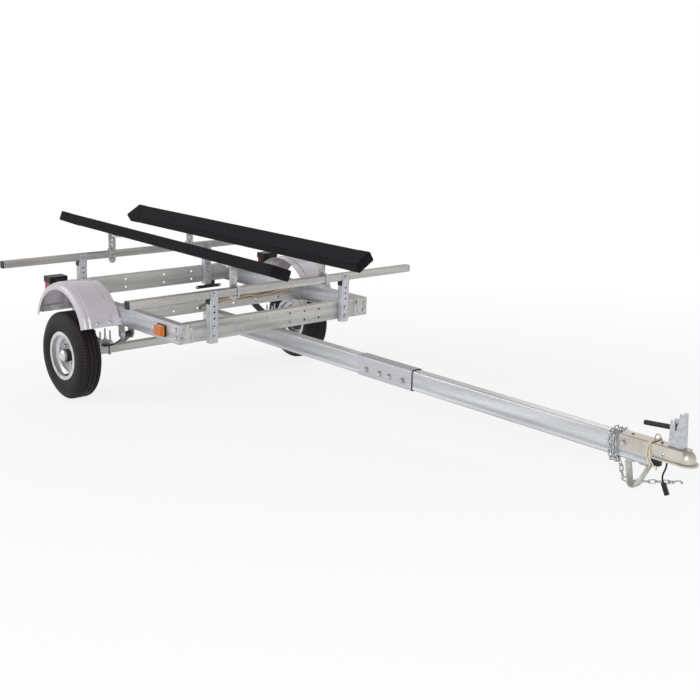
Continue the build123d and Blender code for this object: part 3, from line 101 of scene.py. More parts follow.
# Camera, as fitted to the photograph on the level trailer
CAMERA_PLACE = (4.9545, -3.3826, 1.6441)
CAMERA_AZIMUTH = math.radians(-47.871)
CAMERA_ELEVATION = math.radians(14.079)
CAMERA_ROLL = math.radians(1.665)
FOCAL_PIXELS = 1181.18
IMAGE_PIXELS = 700
SENSOR_MM = 36.0
ahead = Vector((math.cos(CAMERA_ELEVATION) * math.sin(CAMERA_AZIMUTH),
                math.cos(CAMERA_ELEVATION) * math.cos(CAMERA_AZIMUTH), -math.sin(CAMERA_ELEVATION)))
level_right = ahead.cross(Vector((0, 0, 1))).normalized()
level_up = level_right.cross(ahead)
right = level_right * math.cos(CAMERA_ROLL) + level_up * math.sin(CAMERA_ROLL)
up = level_up * math.cos(CAMERA_ROLL) - level_right * math.sin(CAMERA_ROLL)
turn = Matrix((right, up, -ahead)).transposed().to_4x4()
camera_data = bpy.data.cameras.new("camera")
camera_data.sensor_width = SENSOR_MM
camera_data.lens = SENSOR_MM * FOCAL_PIXELS / IMAGE_PIXELS
camera = bpy.data.objects.new("camera", camera_data)
bpy.context.scene.collection.objects.link(camera)
camera.matrix_world = PARK @ Matrix.Translation(CAMERA_PLACE) @ turn
bpy.context.scene.camera = camera
bpy.context.scene.view_settings.view_transform = "Standard"


# Materials
def new_material(name):
    """An empty node material; returns it with its node tree and its Principled shader."""
    material = bpy.data.materials.new(name)
    material.use_nodes = True
    tree = material.node_tree
    return material, tree, tree.nodes["Principled BSDF"]


def add_node(tree, kind, **values):
    """Adds a shader node and sets its plain properties and inputs."""
    node = tree.nodes.new(kind)
    for key, value in values.items():
        if key in node.inputs:
            node.inputs[key].default_value = value
        else:
            setattr(node, key, value)
    return node


def ramp(tree, source, stops):
    """A colour ramp on a value; stops are (place, colour)."""
    node = tree.nodes.new("ShaderNodeValToRGB")
    elements = node.color_ramp.elements
    for k, (place, colour) in enumerate(stops):
        element = elements[k] if k < len(elements) else elements.new(place)
        element.position = place
        element.color = (*colour, 1)
    tree.links.new(source, node.inputs["Fac"])
    return node.outputs["Color"]


def coordinates(tree, stretch=(1, 1, 1)):
    """The row-frame coordinates of the shaded point, scaled along each axis."""
    place = tree.nodes.new("ShaderNodeTexCoord").outputs["Object"]
    mapping = add_node(tree, "ShaderNodeMapping", Scale=stretch)
    tree.links.new(place, mapping.inputs["Vector"])
    return mapping.outputs["Vector"]


def noise(tree, scale, detail=3.0, roughness=0.5, stretch=(1, 1, 1)):
    """A noise value at a scale per metre."""
    node = add_node(tree, "ShaderNodeTexNoise", Scale=scale, Detail=detail, Roughness=roughness)
    tree.links.new(coordinates(tree, stretch), node.inputs["Vector"])
    return node.outputs["Fac"]


def mixed(tree, first, second, share):
    """One value plus a share of another."""
    node = add_node(tree, "ShaderNodeMath", operation="MULTIPLY_ADD")
    tree.links.new(second, node.inputs[0])
    node.inputs[1].default_value = share
    tree.links.new(first, node.inputs[2])
    return node.outputs[0]


def mapped(tree, source, low, high):
    """A value from 0 to 1 spread over a range."""
    node = add_node(tree, "ShaderNodeMapRange")
    node.inputs["To Min"].default_value = low
    node.inputs["To Max"].default_value = high
    tree.links.new(source, node.inputs["Value"])
    return node.outputs["Result"]


def bump(tree, shader, height, strength, distance):
    """Adds a bump from a height value."""
    node = add_node(tree, "ShaderNodeBump", Strength=strength, Distance=distance)
    tree.links.new(height, node.inputs["Height"])
    tree.links.new(node.outputs["Normal"], shader.inputs["Normal"])


# Painted shade on steel that faces up and painted shadow at a mouth, and how far behind the mouth that shadow
# starts and is full
TOP_FACE_SHADE = (0.50, 0.46, 0.42)
MOUTH_SHADOW = (0.06, 0.06, 0.06)
MOUTH_SHADOW_START = 0.0016
MOUTH_SHADOW_FULL = 0.0012
# Rolled steel: its noise is drawn out along one axis
STREAK = 0.04
ROLLED_ALONG = {"x": (STREAK, 1, 1), "y": (1, STREAK, 1), "z": (1, 1, STREAK), "none": (1, 1, 1)}
# How far steel's roughness swings below and above its middle
ROUGH_BELOW = 0.07
ROUGH_ABOVE = 0.1
# Sockets of a colour mix
MIX_FIRST = 6
MIX_SECOND = 7
MIX_RESULT = 2


def facing_up(tree):
    """How far the surface faces up, from 0 to 1."""
    normal = tree.nodes.new("ShaderNodeNewGeometry").outputs["Normal"]
    split = tree.nodes.new("ShaderNodeSeparateXYZ")
    tree.links.new(normal, split.inputs["Vector"])
    upper = add_node(tree, "ShaderNodeMath", operation="MAXIMUM")
    tree.links.new(split.outputs["Z"], upper.inputs[0])
    upper.inputs[1].default_value = 0.0
    return upper.outputs[0]


def level_place(tree, axis, low, high):
    """Place along an axis of the level trailer, 0 at low and 1 at high."""
    level = PARK.inverted()["xyz".index(axis)]
    reach = add_node(tree, "ShaderNodeVectorMath", operation="DOT_PRODUCT")
    tree.links.new(coordinates(tree), reach.inputs[0])
    reach.inputs[1].default_value = level[:3]
    place = add_node(tree, "ShaderNodeMapRange")
    place.inputs["From Min"].default_value = low - level[3]
    place.inputs["From Max"].default_value = high - level[3]
    tree.links.new(reach.outputs["Value"], place.inputs["Value"])
    return place.outputs["Result"]


def multiplied(tree, colour):
    """A node that multiplies a colour; its factor and its second colour are still to be set."""
    node = add_node(tree, "ShaderNodeMix", data_type="RGBA", blend_type="MULTIPLY")
    tree.links.new(colour, node.inputs[MIX_FIRST])
    return node


def tinted(tree, colour, share, tint):
    """A colour multiplied by a tint as far as the share goes."""
    node = multiplied(tree, colour)
    tree.links.new(share, node.inputs["Factor"])
    node.inputs[MIX_SECOND].default_value = (*tint, 1)
    return node.outputs[MIX_RESULT]


def metal(name, dark, light, rough, metallic, rolled="none", grain=30.0, spangle=0.0, top_shade=TOP_FACE_SHADE,
          reflection_bands=None, mouth=None):
    """Zinc-coated steel with streaks along its rolling, optional spangle and painted shade where it faces up.

    Stops of (height, grey) for the tongue paint reflection bands along its side. mouth is the place
    of a front end, darkened there as painted shadow in the gap round it.
    """
    material, tree, shader = new_material(name)
    shader.inputs["Metallic"].default_value = metallic
    tone = noise(tree, grain, detail=4.0, roughness=0.55, stretch=ROLLED_ALONG[rolled])
    if spangle:
        cells = add_node(tree, "ShaderNodeTexVoronoi", Scale=spangle)
        tree.links.new(coordinates(tree), cells.inputs["Vector"])
        split = tree.nodes.new("ShaderNodeSeparateColor")
        tree.links.new(cells.outputs["Color"], split.inputs["Color"])
        tone = mixed(tree, tone, split.outputs["Red"], share=0.12)
    # Painted shade: faces that point up are darkened and warmed by a tint
    colour = tinted(tree, ramp(tree, tone, [(0.3, dark), (0.72, light)]), facing_up(tree), top_shade)
    # Painted reflection bands along the tongue's side
    if reflection_bands:
        height = level_place(tree, "z", TONGUE_BOTTOM, TONGUE_TOP)
        painted_reflections = ramp(tree, height, [(place, (grey, grey, grey)) for place, grey in reflection_bands])
        reflected = multiplied(tree, colour)
        reflected.inputs["Factor"].default_value = 1.0
        tree.links.new(painted_reflections, reflected.inputs[MIX_SECOND])
        colour = reflected.outputs[MIX_RESULT]
    if mouth:
        # Painted shadow: the front end darkens at the gap round the mouth
        mouth_shadow = level_place(tree, "x", mouth - MOUTH_SHADOW_START, mouth - MOUTH_SHADOW_FULL)
        colour = tinted(tree, colour, mouth_shadow, MOUTH_SHADOW)
    tree.links.new(colour, shader.inputs["Base Color"])
    roughness = mapped(tree, tone, rough - ROUGH_BELOW, rough + ROUGH_ABOVE)
    tree.links.new(roughness, shader.inputs["Roughness"])
    shader.inputs["Specular IOR Level"].default_value = 0.3
    streaks = noise(tree, scale=70.0, stretch=ROLLED_ALONG[rolled])
    surface = mixed(tree, noise(tree, scale=900.0), streaks, share=0.8)
    bump(tree, shader, surface, strength=0.1, distance=0.0004)
    return material


# How much coarser the tone of paint and plastic is than their texture
TONE_TO_GRAIN = 6


def plain(name, dark, light, rough, grain=300.0, depth=0.0003, coat=0.0, shine=0.5):
    """Paint, plastic or rubber with a slightly uneven tone and a fine texture."""
    material, tree, shader = new_material(name)
    shader.inputs["Specular IOR Level"].default_value = shine
    shader.inputs["Coat Weight"].default_value = coat
    shader.inputs["Roughness"].default_value = rough
    tone = ramp(tree, noise(tree, grain / TONE_TO_GRAIN), [(0.3, dark), (0.7, light)])
    tree.links.new(tone, shader.inputs["Base Color"])
    bump(tree, shader, noise(tree, grain), strength=0.3, distance=depth)
    return material


def lens(name, dark, light):
    """A clear coloured moulding with a fine grid of prisms behind its face."""
    material, tree, shader = new_material(name)
    shader.inputs["Roughness"].default_value = 0.15
    shader.inputs["Specular IOR Level"].default_value = 0.3
    shader.inputs["Coat Weight"].default_value = 0.2
    prisms = add_node(tree, "ShaderNodeTexVoronoi", Scale=170.0, Randomness=0.0)
    tree.links.new(coordinates(tree), prisms.inputs["Vector"])
    tone = ramp(tree, prisms.outputs["Distance"], [(0.1, light), (0.6, dark)])
    tree.links.new(tone, shader.inputs["Base Color"])
    bump(tree, shader, prisms.outputs["Distance"], strength=0.45, distance=0.001)
    return material


def carpet(name):
    """Black marine carpet: a dense uneven pile with a faint sheen."""
    material, tree, shader = new_material(name)
    shader.inputs["Roughness"].default_value = 0.95
    shader.inputs["Sheen Weight"].default_value = 0.05
    shader.inputs["Specular IOR Level"].default_value = 0.08
    wear = noise(tree, scale=90.0, detail=4.0)
    tuft = mixed(tree, noise(tree, scale=1400.0, detail=2.0), wear, share=0.6)
    tone = ramp(tree, tuft, [(0.5, (0.005, 0.004, 0.006)), (1.0, (0.018, 0.014, 0.019))])
    tree.links.new(tone, shader.inputs["Base Color"])
    bump(tree, shader, tuft, strength=0.9, distance=0.002)
    return material


def hub_finish(name, cap_start):
    """Black painted hub with a bright pressed cap beyond cap_start from the centre line."""
    material, tree, shader = new_material(name)
    split = tree.nodes.new("ShaderNodeSeparateXYZ")
    tree.links.new(coordinates(tree), split.inputs["Vector"])
    out = add_node(tree, "ShaderNodeMath", operation="ABSOLUTE")
    tree.links.new(split.outputs["Y"], out.inputs[0])
    cap = add_node(tree, "ShaderNodeMath", operation="GREATER_THAN")
    tree.links.new(out.outputs[0], cap.inputs[0])
    cap.inputs[1].default_value = cap_start
    tone = add_node(tree, "ShaderNodeMath", operation="MULTIPLY")
    tree.links.new(cap.outputs[0], tone.inputs[0])
    tree.links.new(mapped(tree, noise(tree, scale=60.0, detail=4.0), low=0.8, high=1.0), tone.inputs[1])
    colours = [(0.0, (0.016, 0.016, 0.018)), (0.8, (0.58, 0.60, 0.62)), (1.0, (0.74, 0.75, 0.76))]
    tree.links.new(ramp(tree, tone.outputs[0], colours), shader.inputs["Base Color"])
    tree.links.new(mapped(tree, cap.outputs[0], low=0.0, high=0.9), shader.inputs["Metallic"])
    tree.links.new(mapped(tree, cap.outputs[0], low=0.45, high=0.24), shader.inputs["Roughness"])
    bump(tree, shader, noise(tree, scale=500.0), strength=0.1, distance=0.0003)
    return material


# Where the bright cap starts on the hub, from the tyre's middle
HUB_CAP_REACH = 0.0385
# Each row: place up the tongue's side from 0 to 1, grey of the painted reflection band there
TONGUE_REFLECTION_BANDS = [
    (0.0, 0.82), (0.05, 0.62), (0.09, 0.92), (0.17, 0.92), (0.24, 0.68), (0.36, 0.72),
    (0.5, 0.88), (0.8, 0.8), (0.93, 0.82), (0.965, 1.0), (1.0, 1.0),
]
# Painted shade on the tongue's upward faces
TONGUE_TOP_SHADE = (0.62, 0.58, 0.55)
ZINC_DARK = (0.34, 0.335, 0.325)
ZINC_LIGHT = (0.64, 0.63, 0.61)
LONG_DARK = (0.34, 0.35, 0.37)
LONG_LIGHT = (0.66, 0.68, 0.72)
galvanised = metal("galvanised_steel", ZINC_DARK, ZINC_LIGHT, rough=0.38, metallic=0.6, spangle=140.0)
rolled_long = metal("galvanised_long", LONG_DARK, LONG_LIGHT, rough=0.34, metallic=0.6, rolled="x",
                    spangle=150.0)
rolled_cross = metal("galvanised_cross", ZINC_DARK, ZINC_LIGHT, rough=0.36, metallic=0.6, rolled="y",
                     spangle=150.0)
rolled_post = metal("galvanised_post", LONG_DARK, LONG_LIGHT, rough=0.36, metallic=0.6, rolled="z",
                    spangle=150.0)
tongue_steel = metal("tongue_steel", (0.54, 0.55, 0.58), (0.82, 0.84, 0.87), rough=0.32, metallic=0.6,
                     rolled="x", spangle=150.0, top_shade=TONGUE_TOP_SHADE, reflection_bands=TONGUE_REFLECTION_BANDS)
sleeve_steel = metal("sleeve_steel", (0.50, 0.50, 0.54), (0.58, 0.58, 0.62), rough=0.42, metallic=0.45,
                     rolled="x", top_shade=TONGUE_TOP_SHADE, mouth=SLEEVE_FRONT)
coupler_steel = metal("coupler_steel", (0.51, 0.48, 0.43), (0.66, 0.63, 0.57), rough=0.30, metallic=0.6,
                      grain=18.0)
wheel_steel = metal("galvanised_wheel", (0.46, 0.46, 0.48), (0.74, 0.74, 0.76), rough=0.3, metallic=0.7,
                    spangle=150.0)
zinc = metal("bright_zinc", (0.42, 0.43, 0.45), (0.66, 0.68, 0.71), rough=0.22, metallic=0.85, grain=60.0)
chain_zinc = metal("chain_zinc", (0.28, 0.30, 0.32), (0.70, 0.73, 0.76), rough=0.20, metallic=0.9,
                   grain=220.0)
hub_black = hub_finish("hub_black", WHEEL_Y + HUB_CAP_REACH)
fender_paint = plain("silver_paint", (0.53, 0.49, 0.54), (0.58, 0.54, 0.59), rough=0.24, grain=500.0,
                     depth=0.0001, coat=0.6)
black_steel = plain("black_steel", (0.010, 0.010, 0.012), (0.020, 0.020, 0.022), rough=0.4)
rubber = plain("tyre_rubber", (0.009, 0.007, 0.009), (0.019, 0.015, 0.018), rough=0.6, grain=700.0,
               shine=0.22)
plastic = plain("black_plastic", (0.007, 0.007, 0.008), (0.014, 0.014, 0.015), rough=0.4, shine=0.3)
vinyl = plain("black_vinyl", (0.007, 0.006, 0.007), (0.013, 0.012, 0.014), rough=0.36, shine=0.35)
pile = carpet("black_carpet")
red_lens = lens("red_lens", (0.30, 0.004, 0.006), (0.72, 0.012, 0.014))
amber_lens = lens("amber_lens", (0.52, 0.11, 0.008), (0.84, 0.27, 0.03))
tan_wire = plain("tan_wire", (0.66, 0.55, 0.38), (0.80, 0.70, 0.53), rough=0.5)
brown_wire = plain("brown_wire", (0.20, 0.13, 0.05), (0.30, 0.20, 0.08), rough=0.5)
grey_wire = plain("grey_wire", (0.32, 0.30, 0.26), (0.42, 0.40, 0.35), rough=0.5)

SLOT_MATERIALS = {
    "tyre_rubber": rubber,
    "galvanised_wheel": wheel_steel,
    "bright_steel": zinc,
    "galvanised_steel": galvanised,
    "zinc_fasteners": zinc,
    "black_steel": black_steel,
    "silver_paint": fender_paint,
    "black_carpet": pile,
    "black_plastic": plastic,
    "black_rubber": vinyl,
    "red_lens": red_lens,
    "amber_lens": amber_lens,
    "tan_wire": tan_wire,
}
NODE_MATERIALS = {
    "hub_left": hub_black,
    "hub_right": hub_black,
    "side_rail_left": rolled_long,
    "side_rail_right": rolled_long,
    "tongue_front": tongue_steel,
    "tongue_rear": tongue_steel,
    "tongue_sleeve": sleeve_steel,
    "coupler": coupler_steel,
    "chain_hook": chain_zinc,
    "cross_member_front": rolled_cross,
    "cross_member_mid": rolled_cross,
    "cross_member_rear": rolled_cross,
    "load_bar_front": rolled_cross,
    "load_bar_rear": rolled_cross,
    "axle": rolled_cross,
    "posts": rolled_post,
}
for subpart in frame["record"]["subparts"]:
    node_object = nodes[subpart["node"]]
    node_object.data.materials.clear()
    finish = NODE_MATERIALS.get(subpart["node"], SLOT_MATERIALS[subpart["material_slot"]])
    node_object.data.materials.append(finish)


# Meshes and curves: degrees past which an edge stays sharp, then the rounding of cords
SHARP_EDGES = 40
HARD_EDGES = 30
SOFT_EDGES = 60
CORD_ROUNDNESS = 4
CORD_ORDER = 3


def make_object(name, data, material, body):
    """Links a finished mesh or curve, gives it its material and lets it ride on a body."""
    made = bpy.data.objects.new(name, data)
    bpy.context.scene.collection.objects.link(made)
    data.materials.append(material)
    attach(made, body)
    return made


def finish_mesh(name, shape, sharp_degrees=SHARP_EDGES):
    """Turns a bmesh into a mesh with smooth faces that break at sharp edges."""
    bmesh.ops.recalc_face_normals(shape, faces=shape.faces)
    mesh = bpy.data.meshes.new(name)
    shape.to_mesh(mesh)
    shape.free()
    mesh.shade_smooth()
    mesh.set_sharp_from_angle(angle=math.radians(sharp_degrees))
    return mesh


def join_rings(shape, rings, closed):
    """Skins rings of points with faces; where closed, the last ring meets the first."""
    followers = rings[1:] + rings[:1] if closed else rings[1:]
    for ring, following in zip(rings, followers):
        for k in range(len(ring)):
            after = (k + 1) % len(ring)
            shape.faces.new((ring[k], ring[after], following[after], following[k]))


def stand_on(place, direction):
    """A placement whose local Z is the direction."""
    return Matrix.Translation(place) @ direction.to_track_quat("Z", "Y").to_matrix().to_4x4()


def smooth_curve(name, points, radius):
    """A round cord along one smooth spline that the route's points guide."""
    curve = bpy.data.curves.new(name, "CURVE")
    curve.dimensions = "3D"
    curve.bevel_depth = radius
    curve.bevel_resolution = CORD_ROUNDNESS
    curve.use_fill_caps = True
    spline = curve.splines.new("NURBS")
    spline.points.add(len(points) - 1)
    for point, place in zip(spline.points, points):
        point.co = (*place, 1)
    spline.order_u = CORD_ORDER
    spline.use_endpoint_u = True
    return curve


# Tyres: the section is turned round the axle, with notched shoulders between the grooves
TYRE_RADIUS = 0.2095
TYRE_STEPS = 240
GROOVE_DEPTH = 0.005
GROOVE_FLOOR = TYRE_RADIUS - GROOVE_DEPTH
NOTCH_DEPTH = 0.0045
NOTCH_EVERY = 3
BEAD_HALF = 0.0487
BEAD_RADIUS = 0.1028
BEAD_THICKNESS = 0.007
# Each row: distance from the tyre's middle, radius, whether the shoulder notches cut it
TREAD_HALF = [
    (0.0000, GROOVE_FLOOR, False), (0.0023, GROOVE_FLOOR, False), (0.0027, TYRE_RADIUS, False),
    (0.0180, TYRE_RADIUS, False), (0.0184, GROOVE_FLOOR, False), (0.0236, GROOVE_FLOOR, False),
    (0.0240, TYRE_RADIUS, False), (0.0290, TYRE_RADIUS, False), (0.0291, TYRE_RADIUS, True),
    (0.0360, TYRE_RADIUS - 0.0004, True), (0.0405, TYRE_RADIUS - 0.0035, True),
    (0.0440, TYRE_RADIUS - 0.0090, True), (0.0472, TYRE_RADIUS - 0.0160, True),
    (0.0474, TYRE_RADIUS - 0.0165, False),
]
# Each row: distance from the tyre's middle, radius, down the sidewall, round the bead and up the inside
WALL_HALF = [
    (0.0525, 0.1868), (0.0533, 0.1850), (0.0546, 0.1836), (0.0580, 0.1740), (0.0604, 0.1620),
    (0.0609, 0.1540), (0.0602, 0.1450), (0.0585, 0.1360), (0.0572, 0.1345), (0.0570, 0.1315),
    (0.0548, 0.1290), (0.0515, 0.1220), (BEAD_HALF, 0.1173), (BEAD_HALF, BEAD_RADIUS),
    (BEAD_HALF - BEAD_THICKNESS, BEAD_RADIUS), (0.0540, 0.1560), (0.0370, 0.1935), (0.0000, 0.1935),
]


def make_tyre(side_name, side):
    """One tyre as rings of a closed section, its lowest row of points on the floor."""
    half = TREAD_HALF + [(across, radius, False) for across, radius in WALL_HALF]
    section = half + [(-across, radius, notched) for across, radius, notched in reversed(half[1:-1])]
    shape = bmesh.new()
    centre = at(0, side * WHEEL_Y, AXLE_Z)
    rings = []
    for step in range(TYRE_STEPS):
        angle = 2 * math.pi * step / TYRE_STEPS
        ring = []
        for across, radius, notched in section:
            shift = 1 if across < 0 else 0
            cut = NOTCH_DEPTH if notched and (step + shift) % NOTCH_EVERY == 0 else 0.0
            reach = radius - cut
            spot = Vector((reach * math.sin(angle), across, -reach * math.cos(angle)))
            ring.append(shape.verts.new(centre + spot))
        rings.append(ring)
    join_rings(shape, rings, closed=True)
    name = f"tyre_tread_{side_name}"
    mesh = finish_mesh(name, shape, HARD_EDGES)
    tyre = make_object(name, mesh, rubber, f"wheel_{side_name}")
    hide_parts(f"tyre_{side_name}")


for side_name, side in SIDES.items():
    make_tyre(side_name, side)

# Bolts, nuts and rivets
HEX_STEPS = 6
ROUND_STEPS = 18
RIVET_RINGS = 10
# Shares of a head's height that its washer and its straight sides take, and of its corners left on top
WASHER_SHARE = 0.2
SIDES_SHARE = 0.85
CHAMFER_SHARE = 0.82
# A rivet's height to its radius, and a stud's tip to its root
RIVET_FLATNESS = 0.5
STUD_TAPER = 0.9


def add_cone(shape, matrix, steps, low_radius, high_radius, start, finish):
    """A closed cone or cylinder along the local Z of a placement, from start to finish."""
    middle = matrix @ Matrix.Translation((0, 0, (start + finish) / 2))
    bmesh.ops.create_cone(shape, cap_ends=True, segments=steps, radius1=low_radius, radius2=high_radius,
                          depth=finish - start, matrix=middle)


def add_hex(shape, place, direction, flats, height, washer):
    """A hexagon head or nut with a chamfered top on a round washer, standing on a surface."""
    matrix = stand_on(place, direction)
    corner = flats / 2 / math.cos(math.pi / HEX_STEPS)
    seat = height * WASHER_SHARE
    shoulder = seat + height * SIDES_SHARE
    add_cone(shape, matrix, ROUND_STEPS, washer, washer, 0, seat)
    add_cone(shape, matrix, HEX_STEPS, corner, corner, seat, shoulder)
    add_cone(shape, matrix, HEX_STEPS, corner, corner * CHAMFER_SHARE, shoulder, seat + height)


def add_rivet(shape, place, direction, radius):
    """A low round head."""
    matrix = stand_on(place, direction) @ Matrix.Diagonal((1, 1, RIVET_FLATNESS, 1))
    bmesh.ops.create_uvsphere(shape, u_segments=ROUND_STEPS, v_segments=RIVET_RINGS, radius=radius,
                              matrix=matrix)


def add_stud(shape, place, direction, radius, height):
    """A plain round end of a bolt past its nut."""
    add_cone(shape, stand_on(place, direction), ROUND_STEPS, radius, radius * STUD_TAPER, 0, height)


FLATS = 0.017
HEAD = 0.007
WASHER = 0.012
SLEEVE_BOLTS = (1.356, 1.438, 1.496, 1.578)
SLEEVE_BOLT_Z = 0.326
SLEEVE_FLATS = 0.019
SLEEVE_HEAD = 0.010
SLEEVE_WASHER = 0.014
COUPLER_BOLT = (2.685, 0.354)
COUPLER_RIVET = (2.846, 0.355)
COUPLER_RIVET_RADIUS = 0.0075
LATCH_RIVETS = ((2.870, 0.402), (2.890, 0.402), (2.866, 0.430))
LATCH_RIVET_RADIUS = 0.004
LATCH_HALF_WIDTH = 0.015
BOLT_SHARES = (0.27, 0.73)
PLATE_BOLTS = ((0.25, 0.25), (-0.25, 0.75))
POST_BOLT_SHARES = (0.2, 0.7)
forward = along(1, 0, 0)
upward = along(0, 0, 1)
bolts = bmesh.new()
for side in SIDES.values():
    outward = along(0, side, 0)
    for member_front in MEMBER_FRONTS.values():
        for share in BOLT_SHARES:
            bolt_z = FRAME_BOTTOM + RAIL_HEIGHT * share
            place = at(member_front - MEMBER_FLANGE / 2, side * FRAME_HALF_WIDTH, bolt_z)
            add_hex(bolts, place, outward, FLATS, HEAD, WASHER)
    plate_y = FRAME_HALF_WIDTH - CORNER_PLATE_WIDTH / 2
    for across, share in PLATE_BOLTS:
        place = at(MEMBER_FRONTS["front"] + CORNER_PLATE, side * (plate_y + CORNER_PLATE_WIDTH * across),
                   FRAME_BOTTOM + RAIL_HEIGHT * share)
        add_hex(bolts, place, forward, FLATS, HEAD, WASHER)
    for end_name in ("front", "rear"):
        post_front = MEMBER_FRONTS[end_name] + POST_DEPTH
        for bolt_z in [FRAME_BOTTOM + RAIL_HEIGHT * share for share in POST_BOLT_SHARES] + [BAR_Z]:
            add_hex(bolts, at(post_front, side * POST_Y, bolt_z), forward, FLATS, HEAD, WASHER)
    for bolt_x in SLEEVE_BOLTS:
        place = at(bolt_x, side * SLEEVE_OUTER, SLEEVE_BOLT_Z)
        add_hex(bolts, place, outward, SLEEVE_FLATS, SLEEVE_HEAD, SLEEVE_WASHER)
    place = at(COUPLER_BOLT[0], side * COUPLER_OUTER, COUPLER_BOLT[1])
    add_hex(bolts, place, outward, SLEEVE_FLATS, SLEEVE_HEAD, SLEEVE_WASHER)
    place = at(COUPLER_RIVET[0], side * COUPLER_OUTER, COUPLER_RIVET[1])
    add_rivet(bolts, place, outward, COUPLER_RIVET_RADIUS)
    for rivet_x, rivet_z in LATCH_RIVETS:
        place = at(rivet_x, side * LATCH_HALF_WIDTH, rivet_z)
        add_rivet(bolts, place, outward, LATCH_RIVET_RADIUS)

# Nuts on the axle clamps, above their plates
CLAMP_X = 0.024
CLAMP_OFFSET = 0.0275
CLAMP_PLATE_TOP = 0.2505
SPRING_Y = 0.528
CLAMP_FLATS = 0.014
CLAMP_WASHER = 0.009
for side in SIDES.values():
    for across in (-CLAMP_OFFSET, CLAMP_OFFSET):
        for clamp_x in (-CLAMP_X, CLAMP_X):
            place = at(clamp_x, side * SPRING_Y + across, CLAMP_PLATE_TOP)
            add_hex(bolts, place, upward, CLAMP_FLATS, HEAD, CLAMP_WASHER)

# Round bolt heads through each end of the fenders
FENDER_RISE = 0.110
FENDER_OUTSIDE = 0.245
STAY_ANGLE = math.radians(70.9)
FENDER_BOLTS = (0.062, 0.128)
FENDER_BOLT_RADIUS = 0.010
for side in SIDES.values():
    for end in (-1, 1):
        way = Vector((end * math.sin(STAY_ANGLE), 0, math.cos(STAY_ANGLE)))
        for reach in FENDER_BOLTS:
            centre = Vector((0, side * (FRAME_HALF_WIDTH + reach), AXLE_Z + FENDER_RISE))
            add_rivet(bolts, at(*(centre + way * FENDER_OUTSIDE)), along(*way), FENDER_BOLT_RADIUS)

# Bunks: for each side, the board's middle as x, distance out and height, then its tilt and turn in degrees
BUNK_ROWS = {"right": (0.063, 0.226, 0.721, 20.0, -2.0), "left": (0.032, 0.254, 0.716, 31.7, 0.0)}
BUNK_LENGTH = 1.980
BUNK_WIDTH = 0.105
BUNK_THICKNESS = 0.052
BUNK_ROUND = 0.007
bunk_frames = {}
for side_name, (bunk_x, bunk_y, bunk_z, bunk_tilt, bunk_turn) in BUNK_ROWS.items():
    side = SIDES[side_name]
    tilt = math.radians(bunk_tilt)
    heading = Vector((math.cos(math.radians(bunk_turn)), math.sin(math.radians(bunk_turn)), 0))
    outward = Vector((-heading.y, heading.x, 0)) * side
    broad = outward * math.cos(tilt) + Vector((0, 0, math.sin(tilt)))
    face_up = Vector((0, 0, math.cos(tilt))) - outward * math.sin(tilt)
    bunk_frames[side_name] = (Vector((bunk_x, side * bunk_y, bunk_z)), heading, broad, face_up)

# Nuts on the clamps round the load bars and screws up into the boards
# Each row: place of the strip's bar side, direction towards the middle of the trailer
STRIP_ROWS = [
    (MEMBER_FRONTS["front"] + POST_DEPTH - POST_WALL - FIT_GAP - BAR_SIDE, -1),
    (MEMBER_FRONTS["rear"] + POST_DEPTH - POST_WALL - FIT_GAP, 1),
]
STRIP_FLATS = 0.013
STRIP_WASHER = 0.0095
SCREW_FLATS = 0.012
SCREW_HEAD = 0.005
SCREW_WASHER = 0.009
SCREW_SHARES = (0.35, 0.75)
for middle, heading, broad, face_up in bunk_frames.values():
    start = middle - face_up * (BUNK_THICKNESS / 2 + FIT_GAP)
    for strip_x, inward in STRIP_ROWS:
        under = start + heading * ((strip_x + inward * FIT_GAP - start.x) / heading.x)
        for nut_z in (BAR_Z - BRACKET_HOLE_PITCH, BAR_Z + BRACKET_HOLE_PITCH):
            place = at(strip_x + inward * (FIT_GAP + BRACKET_SHEET), under.y, nut_z)
            add_hex(bolts, place, along(inward, 0, 0), STRIP_FLATS, HEAD, STRIP_WASHER)
        for share in SCREW_SHARES:
            place = under + heading * (inward * BRACKET_TAB * share) - face_up * BRACKET_SHEET
            add_hex(bolts, at(*place), along(*(-face_up)), SCREW_FLATS, SCREW_HEAD, SCREW_WASHER)
make_object("frame_bolts", finish_mesh("frame_bolts", bolts, HARD_EDGES), zinc, "chassis")

